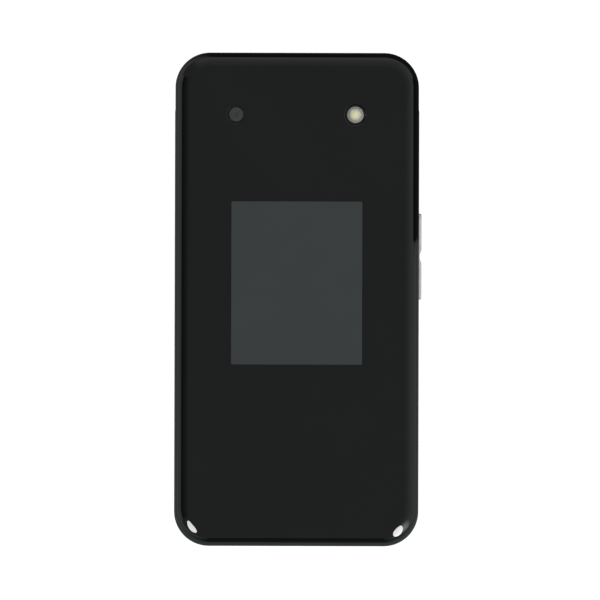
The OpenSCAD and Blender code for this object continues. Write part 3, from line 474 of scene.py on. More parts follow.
def plain_finish(
    name, tint, roughness, handled=1.25, smear=0.06, metallic=0.0, grain=5000.0, rise=0.004 * MM,
    worn=None, coat=0.0, patch=90.0, brushed=False,
):
    """Moulded or metal surface: handling marks, fine grain and, where given, worn edges."""
    if name in FINISHES:
        return FINISHES[name]
    made, tree, shader = new_finish(name)
    marks = effect(
        "Handling", tree, Clean=(*tint, 1), Handled=(*[handled * c for c in tint], 1),
        Roughness=roughness, Smear=smear, Size=patch,
    )
    tone = marks["Color"]
    if worn:
        tone = blend_colours(tree, effect("Edge wear", tree)["Mask"], tone, worn)
    wire(
        tree, (tone, shader.inputs["Base Color"]),
        (marks["Roughness"], shader.inputs["Roughness"]),
    )
    shader.inputs["Metallic"].default_value = metallic
    shader.inputs["Coat Weight"].default_value = coat
    texture = "Brushed" if brushed else "Grain"
    bump(tree, shader, effect(texture, tree, Scale=grain)["Height"], 0.6, rise)
    FINISHES[name] = made
    return made


def object_place(tree, centre):
    """Coordinates counted from a point of the piece, in metres."""
    mapping = add_node(tree, "Mapping", vector_type="POINT")
    mapping.inputs["Location"].default_value = [-c for c in centre]
    wire(tree, (add_node(tree, "TexCoord").outputs["Object"], mapping.inputs["Vector"]))
    parts = add_node(tree, "SeparateXYZ")
    wire(tree, (mapping.outputs["Vector"], parts.inputs[0]))
    return parts.outputs


def distance_from(tree, centre):
    """Distance from an upright axis through a point."""
    x, y, _ = object_place(tree, centre)
    flat = add_node(tree, "CombineXYZ")
    wire(tree, (x, flat.inputs[0]), (y, flat.inputs[1]))
    far = add_node(tree, "VectorMath", operation="LENGTH")
    wire(tree, (flat.outputs[0], far.inputs[0]))
    return far.outputs["Value"]


def inside_box(tree, centre, half_x, half_y, soft):
    """One inside an upright box, zero outside it."""
    x, y, _ = object_place(tree, centre)
    masks = []
    for place, half in ((x, half_x), (y, half_y)):
        size = add_node(tree, "Math", operation="ABSOLUTE")
        wire(tree, (place, size.inputs[0]))
        masks.append(band(tree, size.outputs[0], half + soft, half - soft))
    return product(tree, *masks)


# ---------- Finishes ----------


def gloss_black():
    colours = settings()[1]
    return plain_finish(
        "gloss_black", colours.gloss, 0.035, handled=1.12, smear=0.012, grain=1400.0,
        rise=0.00012 * MM, patch=45.0,
    )


def base_black():
    colours = settings()[1]
    return plain_finish(
        "base_black", colours.base, 0.34, handled=1.1, smear=0.06, grain=7000.0, rise=0.006 * MM,
        worn=(0.05, 0.055, 0.055),
    )


def band_black():
    colours = settings()[1]
    return plain_finish(
        "band_black", colours.band, 0.30, smear=0.08, grain=7000.0, rise=0.005 * MM,
        worn=(0.04, 0.04, 0.042),
    )


def outer_window():
    """Grey display cell seen through a clear flush window."""
    if "outer_window" in FINISHES:
        return FINISHES["outer_window"]
    colours = settings()[1]
    made, tree, shader = new_finish("outer_window")
    smeared = [1.06 * part for part in colours.window]
    marks = effect(
        "Handling", tree, Clean=(*colours.window, 1), Handled=(*smeared, 1), Roughness=0.03,
        Smear=0.01, Size=40.0,
    )
    wire(
        tree, (marks["Color"], shader.inputs["Base Color"]),
        (marks["Roughness"], shader.inputs["Roughness"]),
    )
    bump(tree, shader, effect("Grain", tree, Scale=900.0)["Height"], 0.5, 0.0001 * MM)
    FINISHES["outer_window"] = made
    return made


def camera_glass():
    """Grey pupil inside a black printed ring."""
    colours = settings()[1]
    low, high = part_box("camera_lens")
    made, tree, shader = new_finish("camera_glass")
    ring_edge, pupil_edge = (1.45 * MM, 1.55 * MM), (0.25 * MM, 0.75 * MM)
    fleck_scale = 3200.0
    dark_pupil = [0.75 * part for part in colours.lens]
    pale_fleck = (0.12, 0.125, 0.11)
    far = distance_from(tree, (low + high) / 2)
    ring = band(tree, far, *ring_edge)
    pupil = band(tree, far, *pupil_edge)
    flecks = band(tree, noise(tree, fleck_scale, 3.0, 0.7), 0.55, 0.62)
    glass = blend_colours(tree, pupil, dark_pupil, colours.lens)
    speckled = add_node(tree, "Math", operation="MULTIPLY", in_1=0.25)
    wire(tree, (flecks, speckled.inputs[0]))
    glass = blend_colours(tree, speckled.outputs[0], glass, pale_fleck)
    wire(tree, (blend_colours(tree, ring, glass, colours.gloss), shader.inputs["Base Color"]))
    wire(tree, (blend_values(tree, ring, 0.04, 0.06), shader.inputs["Roughness"]))
    bump(tree, shader, effect("Grain", tree, Scale=900.0)["Height"], 0.5, 0.0001 * MM)
    return made


FLASH_DOME = 1.9 * MM


def flash_dome():
    """Yellow die in the middle of a frosted dome, with a pale rim."""
    colours = settings()[1]
    low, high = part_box("flash_lamp")
    made, tree, shader = new_finish("flash_dome")
    far = distance_from(tree, (low + high) / 2)
    share = add_node(tree, "Math", operation="DIVIDE", in_1=FLASH_DOME)
    rings = add_node(tree, "ValToRGB")
    stops = (
        (0.20, 1.45, colours.die), (0.50, 1.15, colours.dome), (0.74, 0.55, colours.dome),
        (0.80, 0.52, colours.dome), (0.90, 0.85, colours.dome), (0.98, 0.03, colours.dome),
    )
    while len(rings.color_ramp.elements) < len(stops):
        rings.color_ramp.elements.new(1)
    for element, (place, light, tone) in zip(rings.color_ramp.elements, stops):
        element.position = place
        element.color = (*[light * part for part in tone], 1)
    facets = band(tree, noise(tree, 1500.0, 2.0, 0.6), 0.35, 0.65)
    shade, full = (0.84, 0.84, 0.84), (1, 1, 1)
    pale = blend_colours(tree, facets, shade, full)
    tone = add_node(tree, "Mix", data_type="RGBA", blend_type="MULTIPLY", in_0=1)
    sockets = [socket for socket in tone.inputs if socket.type == "RGBA"]
    wire(
        tree, (far, share.inputs[0]), (share.outputs[0], rings.inputs[0]),
        (rings.outputs[0], sockets[0]), (pale, sockets[1]),
        (next(o for o in tone.outputs if o.type == "RGBA"), shader.inputs["Base Color"]),
        (blend_values(tree, facets, 0.22, 0.34), shader.inputs["Roughness"]),
    )
    bump(tree, shader, effect("Grain", tree, Scale=2400.0)["Height"], 0.4, 0.004 * MM)
    return made


def display_glass():
    """Unlit main display behind its black printed border."""
    sizes = settings()[0]
    low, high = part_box("main_display")
    made, tree, shader = new_finish("display_glass")
    border, dark, smeared = (0.003, 0.003, 0.0033), (0.013, 0.015, 0.018), (0.016, 0.018, 0.021)
    lit = inside_box(
        tree, (low + high) / 2, sizes.screen_width / 2, sizes.screen_length / 2, 0.04 * MM
    )
    marks = effect(
        "Handling", tree, Clean=(*dark, 1), Handled=(*smeared, 1), Roughness=0.03, Smear=0.02,
        Size=50.0,
    )
    tone = blend_colours(tree, lit, border, marks["Color"])
    wire(
        tree, (tone, shader.inputs["Base Color"]),
        (marks["Roughness"], shader.inputs["Roughness"]),
    )
    bump(tree, shader, effect("Grain", tree, Scale=800.0)["Height"], 0.5, 0.0001 * MM)
    return made


def silver_paint():
    return plain_finish(
        "silver_paint", settings()[1].silver, 0.32, handled=0.93, metallic=0.1, grain=6000.0,
        rise=0.003 * MM, coat=0.3,
    )


def key_plastic():
    return plain_finish(
        "key_plastic", settings()[1].keys, 0.36, handled=1.25, smear=0.07, grain=8000.0,
        rise=0.005 * MM, patch=160.0,
    )


def ring_paint():
    return plain_finish(
        "ring_paint", settings()[1].ring, 0.28, handled=1.15, metallic=0.7, grain=9000.0,
        rise=0.003 * MM, coat=0.4, worn=(0.22, 0.22, 0.23),
    )


def print_finish(name, tint):
    return plain_finish(name, tint, 0.5, handled=0.92, grain=9000.0, rise=0.002 * MM)


def steel_finish():
    return plain_finish(
        "steel", (0.50, 0.51, 0.53), 0.28, handled=0.85, metallic=1.0, grain=1500.0,
        rise=0.002 * MM, brushed=True,
    )


def gold_finish():
    return plain_finish(
        "gold", (0.72, 0.48, 0.17), 0.24, handled=0.9, metallic=1.0, grain=1500.0,
        rise=0.0015 * MM, brushed=True,
    )


def rubber_black():
    return plain_finish("rubber_black", (0.012, 0.012, 0.013), 0.65, grain=3500.0, rise=0.01 * MM)


def mesh_cloth():
    """Fine woven screen over the earpiece."""
    made, tree, shader = new_finish("mesh_cloth")
    thread_step = 0.22 * MM
    hole, thread = (0.002, 0.002, 0.002), (0.16, 0.165, 0.17)
    x, y, _ = object_place(tree, (0, 0, 0))
    threads = []
    for place in (x, y):
        wave = add_node(tree, "Math", operation="MULTIPLY", in_1=math.tau / thread_step)
        sine = add_node(tree, "Math", operation="SINE")
        wire(tree, (place, wave.inputs[0]), (wave.outputs[0], sine.inputs[0]))
        threads.append(sine.outputs[0])
    top = add_node(tree, "Math", operation="MAXIMUM")
    wire(tree, (threads[0], top.inputs[0]), (threads[1], top.inputs[1]))
    lit = band(tree, top.outputs[0], -0.3, 0.7)
    wire(
        tree,
        (blend_colours(tree, lit, hole, thread), shader.inputs["Base Color"]),
        (blend_values(tree, lit, 0.8, 0.4), shader.inputs["Roughness"]),
        (blend_values(tree, lit, 0.0, 0.8), shader.inputs["Metallic"]),
    )
    bump(tree, shader, top.outputs[0], 0.8, 0.02 * MM)
    return made


def board_mask(name, mask, copper):
    """Solder mask over copper runs, with the runs showing through."""
    made, tree, shader = new_finish(name)
    run_scale, pad_scale, tinned = 420, 700, (0.55, 0.50, 0.38)
    place = add_node(tree, "TexCoord").outputs["Object"]
    runs = add_node(tree, "TexVoronoi", feature="DISTANCE_TO_EDGE", distance="EUCLIDEAN")
    runs.inputs["Scale"].default_value = run_scale
    runs.inputs["Randomness"].default_value = 0.35
    pads = add_node(tree, "TexVoronoi", feature="F1", distance="CHEBYCHEV")
    pads.inputs["Scale"].default_value = pad_scale
    wire(tree, (place, runs.inputs["Vector"]), (place, pads.inputs["Vector"]))
    track = band(tree, runs.outputs["Distance"], 0.16, 0.10)
    pad = band(tree, pads.outputs["Distance"], 0.17, 0.14)
    tone = blend_colours(tree, track, mask, copper)
    tone = blend_colours(tree, pad, tone, tinned)
    wire(
        tree, (tone, shader.inputs["Base Color"]),
        (blend_values(tree, pad, 0.32, 0.2), shader.inputs["Roughness"]),
        (blend_values(tree, pad, 0.0, 0.9), shader.inputs["Metallic"]),
    )
    bump(tree, shader, track, 0.5, 0.03 * MM)
    return made


def inner_finishes():
    """The finish of each slot that only inner pieces use."""
    return {
        "chassis_plastic": plain_finish("chassis_plastic", (0.018, 0.020, 0.022), 0.45,
                                        rise=0.008 * MM, worn=(0.05, 0.05, 0.05)),
        "rubber_grey": plain_finish("rubber_grey", (0.42, 0.44, 0.45), 0.6, handled=0.9,
                                    grain=3000.0, rise=0.01 * MM),
        "dome_film": plain_finish("dome_film", (0.55, 0.53, 0.42), 0.3, handled=0.85, coat=0.5),
        "gold_contact": gold_finish(),
        "steel": steel_finish(),
        "board_green": board_mask("board_green", (0.010, 0.085, 0.035), (0.020, 0.150, 0.060)),
        "flex_amber": board_mask("flex_amber", (0.50, 0.20, 0.035), (0.62, 0.30, 0.07)),
        "battery_wrap": plain_finish("battery_wrap", (0.030, 0.034, 0.040), 0.38, handled=1.4,
                                     grain=600.0, rise=0.02 * MM, patch=60.0),
        "display_cell": plain_finish("display_cell", (0.040, 0.046, 0.048), 0.18, grain=9000.0,
                                     rise=0.002 * MM),
        "module_black": plain_finish("module_black", (0.009, 0.009, 0.010), 0.42, handled=1.5),
        "antenna_copper": plain_finish("antenna_copper", (0.24, 0.13, 0.05), 0.4, handled=1.2,
                                       metallic=0.3, grain=2500.0, rise=0.01 * MM),
        "tungsten": plain_finish("tungsten", (0.28, 0.26, 0.22), 0.5, metallic=0.9, grain=4000.0,
                                 rise=0.012 * MM),
        "satin_black": band_black(),
        "rubber_black": rubber_black(),
        "key_black": key_plastic(),
        "nav_metal": ring_paint(),
        "rocker_silver": silver_paint(),
    }


# ---------- Pieces ----------


CAMERA_OPENING = 1.9 * MM
FLASH_OPENING = 2.3 * MM
WINDOW_CORNER = 0.3 * MM
WINDOW_GAP = 0.01 * MM
CUT_PAST = 1 * MM


def hole_edges(bm, level, centre, radius, slack=0.05 * MM):
    """Edges of a round hole at one level."""
    return [
        e for e in sharp(rim(bm, level))
        if all(abs((v.co.xy - centre.xy).length - radius) < slack for v in e.verts)
    ]


class PHONE_OT_outer_cover(bpy.types.Operator):
    """Glossy outer cover with its three openings"""

    bl_idname = "phone.outer_cover"
    bl_label = "Outer cover"

    def execute(self, context):
        sizes = settings()[0]
        low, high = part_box("outer_cover")
        wall, lower_edge = sizes.cover_wall, 0.1 * MM
        shell = plate_mesh(low, high, sizes.corner, top=sizes.cover_round, steps=8)
        room = plate_mesh(
            low + Vector((wall, wall, -CUT_PAST)), high - Vector((wall, wall, wall)),
            sizes.corner - wall, top=sizes.cover_round - wall, steps=6,
        )
        window_low, window_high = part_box("display_window")
        gap = Vector((WINDOW_GAP, WINDOW_GAP, CUT_PAST))
        window = plate_mesh(window_low - gap, window_high + gap, WINDOW_CORNER, steps=2)
        spots = [
            (self.middle("camera_lens"), CAMERA_OPENING),
            (self.middle("flash_lamp"), FLASH_OPENING),
        ]
        drill = Vector((0, 0, 4 * MM))
        holes = [rod_mesh(spot - drill, spot + drill, radius) for spot, radius in spots]
        bm = combine("DIFFERENCE", shell, room, window, *holes)
        for spot, radius in spots:
            bevel(bm, hole_edges(bm, high.z, spot, radius), sizes.lens_edge, 1)
            outer = radius + sizes.lens_edge
            bevel(bm, hole_edges(bm, high.z, spot, outer), sizes.lens_edge / 4, 2)
        near = 0.5 * MM
        corners = [
            e for e in sharp(rim(bm, high.z))
            if abs(e.verts[0].co.x) < (window_high.x - window_low.x) / 2 + near
            and window_low.y - near < e.verts[0].co.y < window_high.y + near
        ]
        bevel(bm, corners, sizes.opening_edge, 2)
        bevel(bm, sharp(rim(bm, low.z)), lower_edge, 2)
        make_piece("cover_shell", bm, [gloss_black()], "lid", ["outer_cover"])
        return {"FINISHED"}

    @staticmethod
    def middle(node):
        low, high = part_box(node)
        return (low + high) / 2


class PHONE_OT_outer_display(bpy.types.Operator):
    """Flush window over the outer display"""

    bl_idname = "phone.outer_display"
    bl_label = "Outer display window"

    def execute(self, context):
        edge = 0.05 * MM
        low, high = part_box("display_window")
        bm = plate_mesh(low, high, WINDOW_CORNER - WINDOW_GAP, top=edge, steps=2)
        make_piece(
            "window_panel", bm, [outer_window()], "lid", ["display_window"]
        )
        return {"FINISHED"}


class PHONE_OT_camera(bpy.types.Operator):
    """Camera window in its recess"""

    bl_idname = "phone.camera"
    bl_label = "Camera window"

    def execute(self, context):
        low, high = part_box("camera_lens")
        centre = (low + high) / 2
        radius = (high.x - low.x) / 2
        half = (high.z - low.z) / 2
        edge = 0.05 * MM
        bm = lathe([(0, -half), (radius, -half), (radius, half), (0, half)], centre)
        bevel(bm, sharp(rim(bm, high.z)), edge, 2)
        make_piece("camera_glass", bm, [camera_glass()], "lid", ["camera_lens"])
        return {"FINISHED"}


class PHONE_OT_flash(bpy.types.Operator):
    """Flash dome with its flange"""

    bl_idname = "phone.flash"
    bl_label = "Flash dome"

    def execute(self, context):
        low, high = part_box("flash_lamp")
        centre = Vector(((low.x + high.x) / 2, (low.y + high.y) / 2, 0))
        flange = (high.x - low.x) / 2
        rise = 0.7 * MM
        foot = high.z - rise
        flange_low, flange_high = foot - 1.05 * MM, foot - 0.15 * MM
        steps = 10
        turns = [math.pi / 2 * i / steps for i in range(steps + 1)]
        curve = [(FLASH_DOME * math.cos(a), foot + rise * math.sin(a)) for a in turns[:-1]]
        profile = [
            (0, low.z), (FLASH_DOME, low.z), (FLASH_DOME, flange_low), (flange, flange_low),
            (flange, flange_high), (FLASH_DOME, flange_high), *curve, (0, high.z),
        ]
        bm = lathe(profile, centre)
        make_piece("flash_dome", bm, [flash_dome()], "lid", ["flash_lamp"])
        return {"FINISHED"}


class PHONE_OT_lid_shells(bpy.types.Operator):
    """Lid frame with its hinge barrel, and the inner housing"""

    bl_idname = "phone.lid_shells"
    bl_label = "Lid frame and inner housing"

    def execute(self, context):
        edge = settings()[0].shell_edge
        for name, node in (("lid_band", "lid_frame"), ("lid_bezel", "lid_inner_housing")):
            bm = frame_copy(node)
            bevel(bm, sharp(bm.edges), edge, 3)
            make_piece(name, bm, [band_black()], "lid", [node])
        return {"FINISHED"}


class PHONE_OT_main_display(bpy.types.Operator):
    """Main display's lens with the earpiece slot"""

    bl_idname = "phone.main_display"
    bl_label = "Main display lens"

    def execute(self, context):
        low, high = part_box("main_display_lens")
        slot_low, slot_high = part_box("earpiece_mesh")
        middle = (slot_low + slot_high) / 2
        half = Vector((5 * MM, 0.7 * MM, 2 * MM))
        corner, edge = 3.5 * MM, 0.15 * MM
        slot = plate_mesh(middle - half, middle + half, half.y - 0.02 * MM, steps=3)
        bm = combine("DIFFERENCE", plate_mesh(low, high, corner, steps=5), slot)
        bevel(bm, sharp(rim(bm, low.z)), edge, 3)
        make_piece(
            "display_lens", bm, [display_glass()], "lid", ["main_display_lens"]
        )
        return {"FINISHED"}


class PHONE_OT_base_shells(bpy.types.Operator):
    """Keypad housing with its two ears, and the battery cover"""

    bl_idname = "phone.base_shells"
    bl_label = "Base shells"

    def execute(self, context):
        edge = settings()[0].shell_edge
        for name, node in (("keypad_face", "base_front_housing"), ("back_cover", "battery_cover")):
            bm = frame_copy(node)
            bevel(bm, sharp(bm.edges), edge, 3)
            make_piece(name, bm, [base_black()], "base", [node])
        return {"FINISHED"}


def text_mesh(text, height, place):
    """Flat text as a thin solid mesh, centred on a point."""
    rise = settings()[0].mark_rise
    curve = bpy.data.curves.new("mark", "FONT")
    curve.body = text
    curve.size = height
    curve.align_x = "CENTER"
    curve.align_y = "CENTER"
    curve.extrude = rise / 2
    writing = bpy.data.objects.new("mark", curve)
    bpy.context.scene.collection.objects.link(writing)
    bm = baked(writing)
    bmesh.ops.translate(bm, verts=bm.verts, vec=place + Vector((0, 0, rise / 2)))
    return bm


def bar_mesh(place, width, length_y):
    """Small flat bar on a key."""
    rise = Vector((0, 0, settings()[0].mark_rise))
    half = Vector((width / 2, length_y / 2, 0))
    corner = 0.2 * MM
    return plate_mesh(place - half, place + half + rise, corner, steps=2)


def handset_mesh(place, turn):
    """Handset sign: a bowed grip with two ends."""
    rise = Vector((0, 0, settings()[0].mark_rise))
    aside, down = 1.5 * MM, 0.35 * MM
    half, corner = Vector((0.5 * MM, 0.6 * MM, 0)), 0.25 * MM
    inner, outer, lowered = 2.0 * MM, 2.8 * MM, 1.9 * MM
    sweep = math.radians(88)
    ends = []
    for side in (-1, 1):
        end = place + Vector((side * aside, -down, 0))
        ends.append(plate_mesh(end - half, end + half + rise, corner, steps=2))
    grip = bmesh.new()
    ring = [grip.verts.new((0, radius, 0)) for radius in (inner, outer)]
    edge = grip.edges.new(ring)
    centre = Vector((0, 0, 0))
    first = Matrix.Rotation(sweep / 2, 3, "Z")
    bmesh.ops.rotate(grip, verts=grip.verts, cent=centre, matrix=first)
    bmesh.ops.spin(
        grip, geom=[*ring, edge], cent=centre, axis=(0, 0, 1), angle=-sweep, steps=12,
        use_merge=False,
    )
    top = bmesh.ops.extrude_face_region(grip, geom=grip.faces[:])
    raised = [v for v in top["geom"] if isinstance(v, bmesh.types.BMVert)]
    bmesh.ops.translate(grip, verts=raised, vec=rise)
    bmesh.ops.recalc_face_normals(grip, faces=grip.faces)
    bmesh.ops.translate(grip, verts=grip.verts, vec=place - Vector((0, lowered, 0)))
    bm = combine("UNION", grip, *ends)
    slant = Matrix.Rotation(math.radians(turn), 3, "Z")
    bmesh.ops.rotate(bm, verts=bm.verts, cent=place, matrix=slant)
    return bm


class PHONE_OT_keys(bpy.types.Operator):
    """Number and function keys with their marks"""

    bl_idname = "phone.keys"
    bl_label = "Keys and marks"

    def execute(self, context):
        sizes, colours, _ = settings()
        star_share = 1.35
        bar_width, bar_length = 3.2 * MM, 0.6 * MM
        white = print_finish("mark_white", colours.marks)
        for node in NUMBER_KEYS + FUNCTION_KEYS:
            self.paint(node)
        for node in NUMBER_KEYS:
            text = {"star": "*", "hash": "#"}.get(node[4:], node[4:])
            height = sizes.digit * (star_share if text == "*" else 1)
            mark = text_mesh(text, height, self.top(node))
            if text == "1":
                mark = self.flagged(mark)
            make_piece(node + "_mark", mark, [white], node)
        for node in FUNCTION_KEYS[:2]:
            bar = bar_mesh(self.top(node), bar_width, bar_length)
            make_piece(node + "_mark", bar, [white], node)
        green = print_finish("mark_green", colours.call)
        red = print_finish("mark_red", colours.end)
        make_piece("key_call_mark", handset_mesh(self.top("key_call"), 40), [green], "key_call")
        make_piece("key_end_mark", handset_mesh(self.top("key_end"), 0), [red], "key_end")
        return {"FINISHED"}

    @staticmethod
    def flagged(stem):
        """The digit one with a short slanting flag at its top."""
        reach, stroke = 1.5 * MM, 0.46 * MM
        inward, down = 0.05 * MM, 0.26 * MM
        right = max(v.co.x for v in stem.verts)
        top = max(v.co.y for v in stem.verts)
        level = min(v.co.z for v in stem.verts)
        tip = Vector((right - inward, top - down, level))
        flag = bar_mesh(tip - Vector((reach / 2, 0, 0)), reach, stroke)
        slant = Matrix.Rotation(math.radians(36), 3, "Z")
        bmesh.ops.rotate(flag, verts=flag.verts, cent=tip, matrix=slant)
        return combine("UNION", stem, flag)

    @staticmethod
    def top(node):
        low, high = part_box(node)
        return Vector(((low.x + high.x) / 2, (low.y + high.y) / 2, high.z))

    @staticmethod
    def paint(node):
        dress_node(node, key_plastic())


def dress_node(node, finish):
    """Gives a node that stays its finish."""
    slots = frame["nodes"][node].data.materials
    slots.clear()
    slots.append(finish)


class PHONE_OT_navigation(bpy.types.Operator):
    """Navigation ring with its four marks, its web and the select key"""

    bl_idname = "phone.navigation"
    bl_label = "Navigation ring"

    def execute(self, context):
        colours = settings()[1]
        dress_node("nav_ring", ring_paint())
        dress_node("nav_web", steel_finish())
        dress_node("select_key", key_plastic())
        below_top, out, thick, size = 0.295 * MM, 8.55 * MM, 0.03 * MM, 0.55 * MM
        low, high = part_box("nav_ring")
        centre = Vector(((low.x + high.x) / 2, (low.y + high.y) / 2, high.z - below_top))
        tips = []
        for quarter in range(4):
            turn = Matrix.Rotation(quarter * math.pi / 2, 3, "Z")
            foot = centre + turn @ Vector((0, out, 0))
            tip = rod_mesh(foot, foot + Vector((0, 0, thick)), size, 3)
            bmesh.ops.rotate(tip, verts=tip.verts, cent=foot, matrix=turn)
            tips.append(tip)
        white = print_finish("mark_white", colours.marks)
        make_piece("nav_marks", join(tips), [white], "nav_ring")
        return {"FINISHED"}


class PHONE_OT_volume_rocker(bpy.types.Operator):
    """Silver volume rocker in the side wall"""

    bl_idname = "phone.volume_rocker"
    bl_label = "Volume rocker"

    def execute(self, context):
        dress_node("volume_rocker", silver_paint())
        return {"FINISHED"}


class PHONE_OT_sockets(bpy.types.Operator):
    """Charging socket with its contacts, and the headphone socket"""

    bl_idname = "phone.sockets"
    bl_label = "Sockets"

    def execute(self, context):
        dress_node("usb_socket", steel_finish())
        dress_node("headphone_socket", band_black())
        count, step = 10, 0.55 * MM
        half_width, half_thick, off_middle = 0.13 * MM, 0.02 * MM, 0.35 * MM
        start, end = 1.4 * MM, 4.8 * MM
        low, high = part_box("usb_socket")
        middle = (low + high) / 2
        strips = []
        for side in (-1, 1):
            face = middle.z + side * off_middle
            for i in range(count):
                x = (i - (count - 1) / 2) * step
                strips.append(box_mesh(
                    Vector((x - half_width, low.y + start, face - half_thick)),
                    Vector((x + half_width, low.y + end, face + half_thick)),
                ))
        make_piece("usb_contacts", join(strips), [gold_finish()], "base")
        return {"FINISHED"}


class PHONE_OT_small_parts(bpy.types.Operator):
    """Bumpers, the earpiece's screen and everything inside"""

    bl_idname = "phone.small_parts"
    bl_label = "Small and inner parts"

    def execute(self, context):
        dress_node("lid_bumpers", rubber_black())
        dress_node("earpiece_mesh", mesh_cloth())
        finishes = inner_finishes()
        done = {
            "lid_bumpers", "earpiece_mesh", "usb_socket", "headphone_socket", "volume_rocker",
            "nav_ring", "nav_web", "select_key", *NUMBER_KEYS, *FUNCTION_KEYS,
        }
        for row in frame["record"]["subparts"]:
            node = row["node"]
            if node not in done and not frame["nodes"][node].hide_render:
                dress_node(node, finishes[row["material_slot"]])
        return {"FINISHED"}


# ---------- Studio ----------


def sky_ramp(tree, turn, stops):
    """Grey ramp over the angle from straight up, given in degrees and brightness."""
    node = add_node(tree, "ValToRGB")
    ramp = node.color_ramp
    while len(ramp.elements) < len(stops):
        ramp.elements.new(1)
    for element, (angle, light) in zip(ramp.elements, stops):
        element.position = angle / 180
        element.color = (light, light, light, 1)
    wire(tree, (turn, node.inputs[0]))
    return node.outputs[0]


